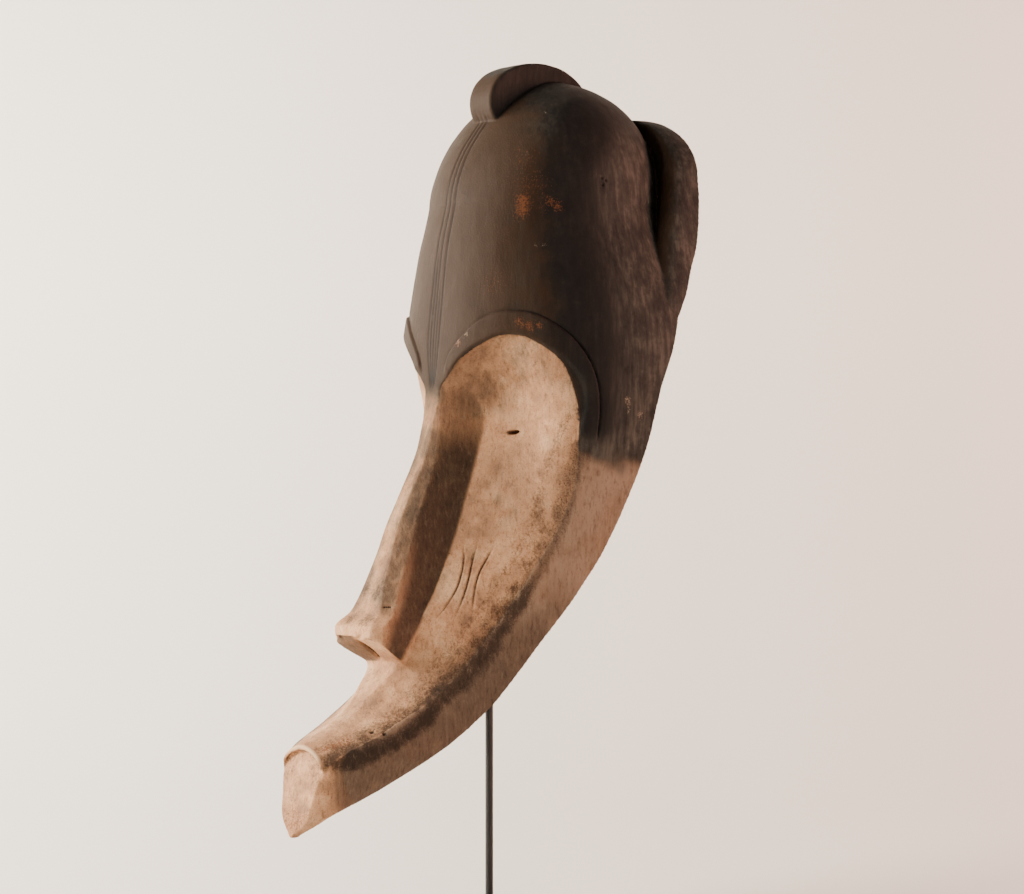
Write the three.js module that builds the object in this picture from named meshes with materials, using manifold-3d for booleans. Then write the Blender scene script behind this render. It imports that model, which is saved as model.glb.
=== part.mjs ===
// Long carved mask with a crested dome, standing on a steel rod and plate. Millimetres, +Z up.
// The origin is the centre of the plate's underside, on the rod's axis. The face looks along -Y.
import * as THREE from 'three';
import Module from 'manifold-3d';

// Overall levels of the mask
const CHIN_Z = 113;
const DOME_BASE_Z = 675;
const DOME_TOP_Z = 794;

// Front line of the uncut blank along the middle: chin, muzzle, cheeks, bridge, forehead
const FRONT_Y = [
  [CHIN_Z, -226], [193, -226], [236, -168], [257, -152], [283, -140], [334, -113], [405, -89],
  [450, -75], [495, -68.4], [550, -65.5], [632, -55], [DOME_BASE_Z, -45.5],
];
// Half-width of the blank, from the pointed chin to the foot of the dome
const HALF_WIDTH = [
  [CHIN_Z, 3], [128, 26], [154, 46], [196, 67], [240, 83], [296, 97], [353, 110], [414, 121],
  [473, 131], [530, 134], [588, 126], [625, 113.5], [655, 103.5], [DOME_BASE_Z, 100],
];
// Rear edge of the walls in depth, where the back of the block is sawn and dressed
const RIM_Y = [
  [CHIN_Z, -218], [128, -209], [154, -160], [196, -90], [228, -54.5], [276, -16], [323, 21],
  [387, 57], [445, 78], [511, 95], [549, 110], [606, 136], [645, 154], [683, 164], [723, 168],
];
// How far behind the rear edge each section is widest; the head closes round in front of it
const WIDEST_BEHIND_RIM = [[CHIN_Z, 6], [520, 5], [588, -30], [640, -78], [DOME_BASE_Z, -97]];
// How full the sections are, as the powers of a superellipse across and in depth
const POWER_ACROSS = [[CHIN_Z, 2], [480, 2], [540, 2.25], [600, 2.12], [660, 2.08], [720, 2]];
const POWER_DEEP = [
  [CHIN_Z, 2], [172, 2], [205, 1.1], [240, 0.97], [283, 1], [334, 1.25], [379, 1.4], [432, 1.6],
  [486, 1.8], [545, 2], [800, 2],
];
const DOME_POWER_FRONT = 1.6;
const DOME_POWER_SIDE = 2.2;
const DOME_POWER_BACK = 2.5;
const DOME_BACK_DEPTH = 113;
const LOWER_BACK_DEPTH = 110;
const BACK_BLEND_START_Z = 560;
const LOWER_SPACING = 1.15;

// Face hollows either side of the nose, under the brow arc, in to the cheek ridge
const BROW_ARC = [
  [-90, 450], [-10, 496], [14, 511], [33, 534], [55, 549], [77, 556], [99, 542], [113, 518],
  [118.5, 490], [123, 450], [140, 380],
];
// Slope of the hollow's wall under the brow: steep by the nose, easier at the far side
const BROW_SLOPE_NEAR = 1.7;
const BROW_SLOPE_FAR = 0.65;
const BROW_NEAR_X = 15;
const BROW_FAR_X = 105;
const BROW_HALF = 40;
const FACE_TOP_Z = 556;
const FACE_BOTTOM_Z = 170;
const RIDGE_HALF_WIDTH = [
  [170, 32], [182, 36], [197, 45], [220, 53], [236, 58], [260, 66], [299, 77], [334, 87], [379, 99],
  [432, 110], [486, 117.5], [FACE_TOP_Z + 20, 118],
];
const FLOOR_FLAT_HALF_WIDTH = [
  [193, 3], [227, 9], [257, 20], [284, 34], [299, 37], [334, 32], [392, 27], [520, 22],
];
const FLOOR_FLAT_Y = [
  [170, -252], [193, -211], [213, -169], [227, -151], [240, -139.5], [257, -125.5], [270, -124.5],
  [284, -118.5], [299, -109], [316, -94.5], [334, -83], [392, -56.5], [441, -38], [491, -23],
  [FACE_TOP_Z + 20, 0],
];
const FLOOR_POWER = 1.15;
const FACE_MARGIN = 8;
const ROOT_STEP = 1;
const ROOT_TO_RIDGE = 12;
const FLOOR_TO_RIDGE = 3;
const MIDDLE_LAP = 0.5;
const CLEAR_Y = -330;
const BEHIND_Y = 400;
const BLOCK_HALF_WIDTH = 180;
const RIDGE_SLOPE = 2.5;
const BROW_ROUND = 26;
const RIDGE_ROUND = 4;
const NOSE_ROUND = 7;
const NOSE_FRONT_Y = [
  [245, -156], [292, -155], [306, -141.5], [331, -130], [357, -119.6], [378, -112],
  [405, -98.5], [450, -76.4], [480, -68.8], [520, -60],
];
const NOSE_CROWN = 3;
const NOSE_EDGE = [
  [262, 25], [270, 30.5], [283, 34.5], [294, 35], [306, 30.5], [317, 27.5], [331, 24.5], [352, 22],
  [378, 20], [405, 17.5], [450, 14], [500, 11], [600, 11],
];
const NOSE_SLOPE = [
  [262, 9], [283, 14], [306, 12], [331, 9.5], [352, 7], [378, 6], [405, 5.2], [450, 3.6],
  [500, 2.3], [600, 1.6],
];
const NOSE_BEVEL = [[262, 6], [331, 7.5], [378, 8], [405, 6.5], [450, 3], [480, 1.5], [600, 1]];
const BEVEL_SLOPE = 0.9;
const NOSE_MARGIN = 10;
const NOSE_FADE_Z = 480;
const NOSE_BOTTOM_Z = 262;
const NOSE_TIP_Z = 283;
const NOSE_TOP_Z = 520;
const NOSE_ROOT_DEPTH = 60;
const NOSE_END_RUN = 30;
const NOSE_END_FULLNESS = 0.3;
const NOTCH_DEPTH = 4;
const NOTCH_HALF_WIDTH = 24;
const NOSE_BELOW = 12;

// Mouth: a flat lip, and a shallow step back under its arc to the flat chin facet
const LIP_Y = -212;
const LIP_HALF_WIDTH = 30;
const LIP_TOP_Z = 188;
const LIP_BASE_Z = 166;
const LIP_CUT_TOP_Z = 230;
const FACET_TOP_Y = -206.5;
const FACET_BOTTOM_Y = -222;
const FACET_BOW = 2;
const FACET_LEVELS = [120, 135, 150];
const LIP_STEP = 0.01;
const BELOW_CHIN = 20;

// Hood behind the dome: a broad arch whose rounded shoulders stand clear of the dome
const HOOD_FOOT_Z = 520;
const HOOD_HALF_WIDTH = [
  [HOOD_FOOT_Z, 122], [560, 127], [588, 128], [624, 121], [664, 113.5], [700, 106],
];
const HOOD_ARCH_BASE_Z = 690;
const HOOD_TOP_Z = 766;
const HOOD_POWER = 2.3;
const HOOD_ARCH_END = THREE.MathUtils.degToRad(87.5);
const HOOD_EDGE_Y = [
  [HOOD_FOOT_Z, 60], [585, 96], [630, 112], [690, 131], [735, 143], [HOOD_TOP_Z, 150],
];
const HOOD_VALLEY_Y = 153;
const HOOD_REAR_Y = 190;
const HOOD_CORNER_START = 0.86;
const HOOD_CORNER_DEPTH = 20;
const HOOD_VALLEY_POWER = 3;
const HOOD_ACROSS = [0, 0.2, 0.4, 0.55, 0.66, 0.76, HOOD_CORNER_START, 0.93, 0.98, 1];

// Crest: an upright oval disc, sunk in the top of the dome
const CREST_CENTRE_Y = 50;
const CREST_CENTRE_Z = 770;
const CREST_RADIUS_Y = 62;
const CREST_RADIUS_Z = 40;
const CREST_HALF_THICKNESS = 16.5;
const CREST_EDGE_ROUND = 3;
const CREST_SCOOP = 2;
const CREST_DISH_SIZE = 0.55;
const CREST_FLAT_SIZE = 0.93;

// Hollow, scooped out from behind
const HOLLOW_FRONT_Y = [
  [182, -113], [190, -130], [206, -140], [236, -124], [257, -105], [296, -91], [353, -68], [405, -47],
  [441, -29], [480, -13], [530, -13], [600, -25], [645, -31], [668, -5], [690, 40], [742, 130],
];
const HOLLOW_HALF_WIDTH = [
  [182, 0], [190, 22], [206, 42], [236, 59], [257, 67], [296, 79], [353, 92], [414, 103], [473, 112],
  [530, 114], [588, 107], [625, 94], [650, 78], [675, 64], [690, 56],
];
const HOLLOW_ARCH_Z = 690;
const HOLLOW_TOP_Z = 742;
const HOLLOW_LOW_LEVELS = [182, 190, 206, 221];
const HOLLOW_FIRST_EVEN_Z = 236;
const PAST_RIM = 60;

// Domed chamber above it, inside the head: half-width, front and back at each level
const CHAMBER_HALF_WIDTH = [
  [590, 82], [625, 91], [655, 87], [690, 83], [720, 77], [742, 65], [756, 48], [765, 26], [768, 0],
];
const CHAMBER_FRONT_Y = [
  [590, -5], [640, -29], [665, -30.5], [690, -24], [720, -9], [742, 6], [756, 22], [765, 44], [768, 67],
];
const CHAMBER_MIDDLE_Y = 67;
const CHAMBER_TURN_Z = 720;
const CHAMBER_TOP_LEVELS = [732, 742, 750, 756, 761, 765, 767.5];
const CHAMBER_BACK_Y = [
  [590, 100], [625, 124], [655, 136], [690, 139], [720, 136], [742, 126], [756, 110], [765, 86],
  [768, 67],
];

const HOLLOW_POWER = [[182, 1.6], [500, 1.6], [620, 2.1], [742, 2.1]];

// Eyes: narrow slits cut right through
const EYE_X = 52.5;
const EYE_Z = 466;
const EYE_HALF_LENGTH = 5.8;
const EYE_HALF_HEIGHT = 1.3;
const EYE_TILT = THREE.MathUtils.degToRad(8);
const EYE_FRONT_Y = -45;
const EYE_BACK_Y = 60;

// Stand
const BASE_SIDE = 220;
const BASE_THICKNESS = 12;
const BASE_CHAMFER = 1.5;
const ROD_RADIUS = 3.65;
const ROD_TOP_Z = 722;
const COLLAR_RADIUS = 11;
const COLLAR_THICKNESS = 5;
const REST_HALF_LENGTH = 18;
const SPREADER_Z = 330;
const SPREADER_HALF_LENGTH = 79;
const GAP = 0.3;

// Shortest edge and lowest triangle left in a finished mesh
const SHORT_EDGE = 0.08;
const LOW_TRIANGLE = 0.02;

const wasm = await Module();
wasm.setup();

// Smooth rise between knots [z, value] that never overshoots them (monotone cubic)
function rail(knots) {
  const slope = knots.slice(1).map(([z, v], i) => (v - knots[i][1]) / (z - knots[i][0]));
  const tangent = knots.map((knot, i) => {
    if (i === 0) return slope[0];
    if (i === knots.length - 1) return slope[i - 1];
    if (slope[i - 1] * slope[i] <= 0) return 0;
    return (2 * slope[i - 1] * slope[i]) / (slope[i - 1] + slope[i]);
  });
  return (z) => {
    const top = knots.length - 2;
    const above = knots.findIndex((knot) => knot[0] >= z);
    const i = THREE.MathUtils.clamp((above < 0 ? top + 1 : above) - 1, 0, top);
    const span = knots[i + 1][0] - knots[i][0];
    const t = THREE.MathUtils.clamp((z - knots[i][0]) / span, 0, 1);
    const rise = t * t * (3 - 2 * t);
    return knots[i][1] * (1 - rise) + knots[i + 1][1] * rise
      + span * t * (1 - t) * ((1 - t) * tangent[i] - t * tangent[i + 1]);
  };
}

const frontLine = rail(FRONT_Y);
const halfWidthLine = rail(HALF_WIDTH);
const widestBehind = rail(WIDEST_BEHIND_RIM);
const rimLine = rail(RIM_Y);
const powerAcross = rail(POWER_ACROSS);
const powerDeep = rail(POWER_DEEP);
const noseFront = rail(NOSE_FRONT_Y);
const ridgeLine = rail(RIDGE_HALF_WIDTH);
const flatWidth = rail(FLOOR_FLAT_HALF_WIDTH);
const flatY = rail(FLOOR_FLAT_Y);
const noseEdge = rail(NOSE_EDGE);
const noseSlope = rail(NOSE_SLOPE);
const noseBevel = rail(NOSE_BEVEL);
const hoodWidth = rail(HOOD_HALF_WIDTH);
const hoodEdge = rail(HOOD_EDGE_Y);
const hollowFront = rail(HOLLOW_FRONT_Y);
const hollowWidth = rail(HOLLOW_HALF_WIDTH);
const hollowPower = rail(HOLLOW_POWER);
const chamberWidth = rail(CHAMBER_HALF_WIDTH);
const chamberFront = rail(CHAMBER_FRONT_Y);
const chamberBack = rail(CHAMBER_BACK_Y);

// Height of a superellipse of unit size above the point t of its base
const arch = (t, power) => Math.max(0, 1 - Math.abs(t) ** power) ** (1 / power);
// Evenly spaced values from a to b, both included
const spread = (a, b, count) => Array.from({ length: count }, (_, i) => a + ((b - a) * i) / (count - 1));
// The lesser of two values, with the corner between them rounded off over a width
function softMin(a, b, width) {
  const h = Math.max(0, width - Math.abs(a - b)) / width;
  return Math.min(a, b) - (h * h * width) / 4;
}

// Measures of the blank's section at a level: half-width, widest depth, front and back reach
function section(z) {
  if (z <= DOME_BASE_Z) {
    const y = rimLine(z) + widestBehind(z);
    const blend = THREE.MathUtils.smoothstep(z, BACK_BLEND_START_Z, DOME_BASE_Z);
    return {
      width: halfWidthLine(z),
      y,
      front: y - frontLine(z),
      back: THREE.MathUtils.lerp(LOWER_BACK_DEPTH, DOME_BACK_DEPTH, blend),
    };
  }
  const t = (z - DOME_BASE_Z) / (DOME_TOP_Z - DOME_BASE_Z);
  const y = rimLine(DOME_BASE_Z) + widestBehind(DOME_BASE_Z);
  return {
    width: halfWidthLine(DOME_BASE_Z) * arch(t, DOME_POWER_SIDE),
    y,
    front: (y - frontLine(DOME_BASE_Z)) * arch(t, DOME_POWER_FRONT),
    back: DOME_BACK_DEPTH * arch(t, DOME_POWER_BACK),
  };
}

// Front surface of the blank
function blankY(x, z) {
  const s = section(z);
  const across = Math.min(1, Math.abs(x) / s.width) ** powerAcross(z);
  return s.y - s.front * (1 - across) ** (1 / powerDeep(z));
}

// Closed solid through rings of points, with the flat rings at its two ends fanned shut
function loft(rings) {
  const count = rings[0].length;
  const points = rings.flat();
  const triangles = [];
  for (let row = 0; row + 1 < rings.length; row += 1) {
    for (let i = 0; i < count; i += 1) {
      const a = row * count + i;
      const b = row * count + ((i + 1) % count);
      triangles.push([a, b, b + count], [a, b + count, a + count]);
    }
  }
  for (const row of [0, rings.length - 1]) {
    const hub = points.length;
    points.push(rings[row].reduce((sum, p) => sum.map((v, k) => v + p[k] / count), [0, 0, 0]));
    for (let i = 0; i < count; i += 1) {
      const a = row * count + i;
      const b = row * count + ((i + 1) % count);
      triangles.push(row === 0 ? [b, a, hub] : [a, b, hub]);
    }
  }
  return solid(points, triangles);
}

// Solid from points and triangles, with equal points merged and its faces turned outwards
function solid(points, triangles) {
  const index = new Map();
  const merged = [];
  const place = points.map((p) => {
    const key = p.map((v) => Math.round(v * 1e3)).join();
    if (!index.has(key)) {
      index.set(key, merged.length);
      merged.push(p);
    }
    return index.get(key);
  });
  const faces = triangles.map((t) => t.map((i) => place[i]))
    .filter(([a, b, c]) => a !== b && b !== c && c !== a);
  const volume = faces.reduce((sum, [a, b, c]) => {
    const [p, q, r] = [a, b, c].map((i) => new THREE.Vector3(...merged[i]));
    return sum + p.dot(q.cross(r));
  }, 0);
  const outward = volume > 0 ? faces : faces.map(([a, b, c]) => [a, c, b]);
  return new wasm.Manifold(new wasm.Mesh({
    numProp: 3,
    vertProperties: Float32Array.from(merged.flat()),
    triVerts: Uint32Array.from(outward.flat()),
  }));
}

// Block with level rectangular sections, from rows of [z, nearest y, farthest y]
function block(rows, halfLength) {
  return loft(rows.map(([z, near, far]) => [[-halfLength, near, z], [halfLength, near, z],
    [halfLength, far, z], [-halfLength, far, z]]));
}

// Signed distance of a point inside the brow arc, measured in the frontal plane. The distances
// from the arc's two halves are joined smoothly, so that no crease is left between them.
const browPoints = new THREE.SplineCurve(BROW_ARC.map(([x, z]) => new THREE.Vector2(x, z)))
  .getPoints(2 * BROW_HALF);
function browDistance(x, z) {
  const near = [Infinity, Infinity];
  let side = 1;
  for (let i = 0; i + 1 < browPoints.length; i += 1) {
    const a = browPoints[i];
    const edge = browPoints[i + 1].clone().sub(a);
    const to = new THREE.Vector2(x, z).sub(a);
    const t = THREE.MathUtils.clamp(to.dot(edge) / edge.lengthSq(), 0, 1);
    const distance = to.clone().addScaledVector(edge, -t).length();
    if (distance < Math.min(...near)) side = edge.x * to.y - edge.y * to.x < 0 ? 1 : -1;
    const half = i < BROW_HALF ? 0 : 1;
    near[half] = Math.min(near[half], distance);
  }
  return (side * near[0] * near[1]) / Math.cbrt(near[0] ** 3 + near[1] ** 3 + Number.EPSILON);
}

// Floor of the face hollows: level across the middle, then bowed back to the cheek ridge
function faceFloor(x, z) {
  const ridgeX = ridgeLine(z);
  const ridgeY = blankY(ridgeX, z);
  const t = Math.max(0, (x - flatWidth(z)) / (ridgeX - flatWidth(z)));
  return ridgeY + (flatY(z) - ridgeY) * (1 - t ** FLOOR_POWER);
}

// Bed of the face hollows: the bowed floor, kept in by the slopes under the brow and the ridge
function faceBed(x, z) {
  const blank = blankY(x, z);
  const across = THREE.MathUtils.smoothstep(x, BROW_NEAR_X, BROW_FAR_X);
  const slope = THREE.MathUtils.lerp(BROW_SLOPE_NEAR, BROW_SLOPE_FAR, across);
  const brow = blank + slope * browDistance(x, z);
  const ridge = blank + RIDGE_SLOPE * (ridgeLine(z) - x);
  return softMin(softMin(faceFloor(x, z), brow, BROW_ROUND), ridge, RIDGE_ROUND);
}

// How far the nose's bevelled side lies behind its front edge line
function noseFlank(x, z) {
  const beyond = x - noseEdge(z);
  return Math.max(noseSlope(z) * beyond, BEVEL_SLOPE * (beyond + noseBevel(z)));
}

// Surface of the face on one side: its bed, with the nose's side standing out of it. Below the
// nose the bed runs on across the middle, under the nose's slanted, notched end, which is fuller
// on the -X side.
function faceY(x, z, side) {
  const blank = blankY(x, z);
  const floor = faceBed(x, z);
  const start = z < NOSE_FADE_Z ? noseFront(z) : blank;
  const beside = softMin(floor, start + noseFlank(x, z), NOSE_ROUND);
  const rise = (z - NOSE_BOTTOM_Z) / (NOSE_TIP_Z - NOSE_BOTTOM_Z);
  const notch = NOTCH_DEPTH * Math.max(0, 1 - Math.abs(x) / NOTCH_HALF_WIDTH)
    * Math.max(0, 1 - (2 * rise - 1) ** 2);
  const fuller = side < 0 ? NOSE_END_FULLNESS * THREE.MathUtils.smoothstep(x, 0, NOTCH_HALF_WIDTH) : 0;
  const run = rise < 1 ? 1 - (1 - rise) ** (1 + fuller) : rise;
  const below = flatY(NOSE_BOTTOM_Z) - NOSE_END_RUN * run + notch;
  return Math.max(beside, Math.min(floor, below));
}

// Uncut block: front half a superellipse, back half closing round behind the widest line
function blankBody() {
  const lower = spread(0, 1, 44)
    .map((t) => CHIN_Z + (DOME_BASE_Z - CHIN_Z) * t ** LOWER_SPACING);
  const upper = spread(0, Math.PI / 2, 12).slice(1)
    .map((angle) => DOME_BASE_Z + (DOME_TOP_Z - DOME_BASE_Z) * Math.sin(angle));
  return loft([...lower, ...upper].map((z) => {
    const s = section(z);
    const front = spread(0, Math.PI, 33).map((angle) => {
      const side = Math.cos(angle);
      return [Math.sign(side) * s.width * Math.abs(side) ** (2 / powerAcross(z)),
        s.y - s.front * Math.sin(angle) ** (2 / powerDeep(z)), z];
    });
    const back = spread(Math.PI, 2 * Math.PI, 11).slice(1, -1)
      .map((angle) => [s.width * Math.cos(angle), s.y - s.back * Math.sin(angle), z]);
    return [...front, ...back];
  }));
}

// Nose left proud of the blank, wider than it ends up once its sides are cut
function noseBlock() {
  const levels = [NOSE_BOTTOM_Z - NOSE_BELOW, NOSE_BOTTOM_Z, ...spread(NOSE_TIP_Z, NOSE_TOP_Z, 18)];
  return loft(levels.map((z) => {
    const half = noseEdge(z) + NOSE_MARGIN;
    const front = spread(-1, 1, 9).map((u) => [u * half, noseFront(z) - NOSE_CROWN * (1 - u * u), z]);
    const back = noseFront(z) + NOSE_ROOT_DEPTH;
    return [...front, [half, back, z], [-half, back, z]];
  }));
}

// Everything behind the rear edge of the walls
function behindRim() {
  const levels = spread(CHIN_Z, DOME_TOP_Z + CREST_RADIUS_Z, 34);
  const start = [CHIN_Z - BELOW_CHIN, RIM_Y[0][1], BEHIND_Y];
  return block([start, ...levels.map((z) => [z, rimLine(z), BEHIND_Y])], BLOCK_HALF_WIDTH);
}

// Hood: a hollow-fronted plate whose corner lines come forward at the shoulders
function hood() {
  const levels = [...spread(HOOD_FOOT_Z, HOOD_ARCH_BASE_Z, 12),
    ...spread(0, HOOD_ARCH_END, 9).slice(1)
      .map((angle) => HOOD_ARCH_BASE_Z + (HOOD_TOP_Z - HOOD_ARCH_BASE_Z) * Math.sin(angle))];
  return loft(levels.map((z) => {
    const t = Math.max(0, (z - HOOD_ARCH_BASE_Z) / (HOOD_TOP_Z - HOOD_ARCH_BASE_Z));
    const width = hoodWidth(z) * arch(t, HOOD_POWER);
    const edge = hoodEdge(z);
    const half = HOOD_ACROSS.map((u) => {
      const valley = Math.min(1, u / HOOD_CORNER_START) ** HOOD_VALLEY_POWER;
      const corner = Math.max(0, (u - HOOD_CORNER_START) / (1 - HOOD_CORNER_START));
      const y = HOOD_VALLEY_Y + (edge - HOOD_VALLEY_Y) * valley
        + HOOD_CORNER_DEPTH * (1 - arch(corner, 2));
      return [u * width, y, z];
    });
    const mirrored = half.slice(1).reverse().map(([x, y]) => [-x, y, z]);
    return [...mirrored, ...half, [width, HOOD_REAR_Y, z], [-width, HOOD_REAR_Y, z]];
  }));
}

// Crest: discs of falling size either side of the middle, with dished faces and a soft edge
function crest() {
  const profile = [[CREST_HALF_THICKNESS - CREST_SCOOP, CREST_DISH_SIZE],
    [CREST_HALF_THICKNESS, CREST_FLAT_SIZE], [CREST_HALF_THICKNESS - CREST_EDGE_ROUND, 1]];
  const steps = [...profile.map(([x, size]) => [-x, size]), ...profile.slice().reverse()];
  return loft(steps.map(([x, size]) => spread(0, 2 * Math.PI, 41).slice(1).map((angle) => [x,
    CREST_CENTRE_Y - size * CREST_RADIUS_Y * Math.cos(angle),
    CREST_CENTRE_Z + size * CREST_RADIUS_Z * Math.sin(angle)])));
}

// Wood cut away on one side of the face, side being 1 or -1
function faceCut(side) {
  const levels = [...spread(FACE_BOTTOM_Z, NOSE_BOTTOM_Z, 9),
    ...spread(NOSE_BOTTOM_Z, NOSE_TIP_Z, 6).slice(1),
    ...spread(NOSE_TIP_Z, FACE_TOP_Z + FACE_MARGIN, 24).slice(1)];
  const rings = levels.map((z) => {
    const edge = noseEdge(z);
    const ridge = ridgeLine(z);
    const start = Math.min(noseFront(z), blankY(edge, z));
    const ahead = (x) => start + noseFlank(x, z) < faceBed(x, z);
    const last = ridge - ROOT_TO_RIDGE;
    const root = spread(edge + ROOT_STEP, last, 90).find((x) => !ahead(x)) ?? last;
    const shoulder = (BEVEL_SLOPE * noseBevel(z)) / (noseSlope(z) - BEVEL_SLOPE);
    const flank = Math.min(edge + shoulder, root - ROOT_STEP / 2);
    const inner = [-MIDDLE_LAP, edge - noseBevel(z), flank, root];
    const outer = spread(root, ridge - FLOOR_TO_RIDGE, 10).slice(1);
    const across = [...inner, ...outer, ridge, ridge + FACE_MARGIN];
    const floor = across.map((x) => [side * x, faceY(Math.abs(x), z, side), z]);
    return [...floor, [side * across.at(-1), CLEAR_Y, z], [side * across[0], CLEAR_Y, z]];
  });
  return loft(rings);
}

// Wood cut away in front of the flat of the lip
function lipCut() {
  return block([LIP_BASE_Z, LIP_CUT_TOP_Z].map((z) => [z, CLEAR_Y, LIP_Y]), BLOCK_HALF_WIDTH);
}

// Wood cut away in front of the chin facet, up to the arc of the upper lip
function facetCut() {
  const levels = [CHIN_Z - BELOW_CHIN, ...FACET_LEVELS, LIP_BASE_Z,
    ...spread(0, Math.PI / 2, 9)
      .map((angle) => LIP_BASE_Z + LIP_STEP + (LIP_TOP_Z - LIP_BASE_Z) * Math.sin(angle))];
  return loft(levels.map((z) => {
    const t = (z - LIP_BASE_Z) / (LIP_TOP_Z - LIP_BASE_Z);
    const width = t <= 0 ? 2 * LIP_HALF_WIDTH : LIP_HALF_WIDTH * arch(t, 2);
    const y = THREE.MathUtils.mapLinear(z, CHIN_Z, LIP_TOP_Z, FACET_BOTTOM_Y, FACET_TOP_Y);
    const bow = FACET_BOW * Math.min(1, width / LIP_HALF_WIDTH);
    const floor = spread(-1, 1, 9).map((u) => [u * width, y - bow * (1 - u * u), z]);
    return [...floor, [width, CLEAR_Y, z], [-width, CLEAR_Y, z]];
  }));
}

// Hollow, scooped from behind in sections that narrow towards the face
function hollow() {
  const levels = [...HOLLOW_LOW_LEVELS, ...spread(HOLLOW_FIRST_EVEN_Z, HOLLOW_ARCH_Z, 19),
    ...spread(0, Math.PI / 2, 7).slice(1)
      .map((angle) => HOLLOW_ARCH_Z + (HOLLOW_TOP_Z - HOLLOW_ARCH_Z) * Math.sin(angle))];
  return loft(levels.map((z) => {
    const t = Math.max(0, (z - HOLLOW_ARCH_Z) / (HOLLOW_TOP_Z - HOLLOW_ARCH_Z));
    const width = hollowWidth(z) * arch(t, 2);
    const rim = rimLine(z);
    const power = 2 / hollowPower(z);
    const front = spread(0, Math.PI, 17).map((angle) => {
      const side = Math.cos(angle);
      return [Math.sign(side) * width * Math.abs(side) ** power,
        rim - (rim - hollowFront(z)) * Math.abs(Math.sin(angle)) ** power, z];
    });
    return [...front, [-width, rim + PAST_RIM, z], [width, rim + PAST_RIM, z]];
  }));
}

// Domed chamber that the hollow opens into at the head
function chamber() {
  const levels = [...spread(CHAMBER_HALF_WIDTH[0][0], CHAMBER_TURN_Z, 7), ...CHAMBER_TOP_LEVELS];
  return loft(levels.map((z) => spread(0, 2 * Math.PI, 25).slice(1).map((angle) => {
    const reach = Math.sin(angle) < 0 ? CHAMBER_MIDDLE_Y - chamberFront(z)
      : chamberBack(z) - CHAMBER_MIDDLE_Y;
    return [chamberWidth(z) * Math.cos(angle), CHAMBER_MIDDLE_Y + reach * Math.sin(angle), z];
  })));
}

// Slit eye cut right through the wall, pointed at both ends
function eyeCut(side) {
  return loft([EYE_FRONT_Y, EYE_BACK_Y].map((y) => spread(0, 2 * Math.PI, 13).slice(1).map((angle) => {
    const along = EYE_HALF_LENGTH * Math.cos(angle);
    const up = EYE_HALF_HEIGHT * Math.sin(angle);
    return [side * (EYE_X + along), y, EYE_Z + up + along * Math.tan(EYE_TILT)];
  })));
}

// Square plate with all its edges broken
function plate() {
  const half = BASE_SIDE / 2;
  const steps = [[0, half - BASE_CHAMFER], [BASE_CHAMFER, half],
    [BASE_THICKNESS - BASE_CHAMFER, half], [BASE_THICKNESS, half - BASE_CHAMFER]];
  return loft(steps.map(([z, size]) => [[-size, -size, z], [size, -size, z], [size, size, z],
    [-size, size, z]]));
}

// Round bar through points, with flat ends square to its run
function bar(points, radius) {
  const path = points.map((p) => new THREE.Vector3(...p));
  const rings = path.map((p, i) => {
    const run = path[Math.min(i + 1, path.length - 1)].clone().sub(path[Math.max(i - 1, 0)]).normalize();
    const across = Math.abs(run.y) > 0.9 ? new THREE.Vector3(1, 0, 0) : new THREE.Vector3(0, 1, 0);
    const up = across.cross(run).normalize();
    const side = run.clone().cross(up);
    return spread(0, 2 * Math.PI, 17).slice(1).map((angle) => p.clone()
      .addScaledVector(up, radius * Math.cos(angle))
      .addScaledVector(side, radius * Math.sin(angle)).toArray());
  });
  return loft(rings);
}

function mask() {
  const blank = blankBody().add(noseBlock()).add(hood()).subtract(behindRim()).add(crest());
  return blank.subtract(faceCut(1)).subtract(faceCut(-1)).subtract(lipCut()).subtract(facetCut())
    .subtract(hollow()).subtract(chamber()).subtract(eyeCut(1)).subtract(eyeCut(-1));
}

function standRod() {
  const foot = BASE_THICKNESS + GAP;
  const collar = bar([[0, 0, foot], [0, 0, foot + COLLAR_THICKNESS]], COLLAR_RADIUS);
  const upright = bar([[0, 0, foot], [0, 0, ROD_TOP_Z]], ROD_RADIUS);
  const rest = bar([[-REST_HALF_LENGTH, 0, ROD_TOP_Z], [REST_HALF_LENGTH, 0, ROD_TOP_Z]], ROD_RADIUS);
  const spreader = bar([[-SPREADER_HALF_LENGTH, 0, SPREADER_Z],
    [SPREADER_HALF_LENGTH, 0, SPREADER_Z]], ROD_RADIUS);
  return upright.add(collar).add(rest).add(spreader);
}

// Triangles of a solid with the ends of each very short edge joined into one point
function joinShortEdges(points, triangles) {
  const same = points.map((_, i) => i);
  const find = (i) => (same[i] === i ? i : find(same[i]));
  for (const [a, b, c] of triangles) {
    for (const [p, q] of [[a, b], [b, c], [c, a]]) {
      if (points[p].distanceTo(points[q]) < SHORT_EDGE) same[find(p)] = find(q);
    }
  }
  return triangles.map((t) => t.map(find)).filter(([a, b, c]) => a !== b && b !== c && c !== a);
}

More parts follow.
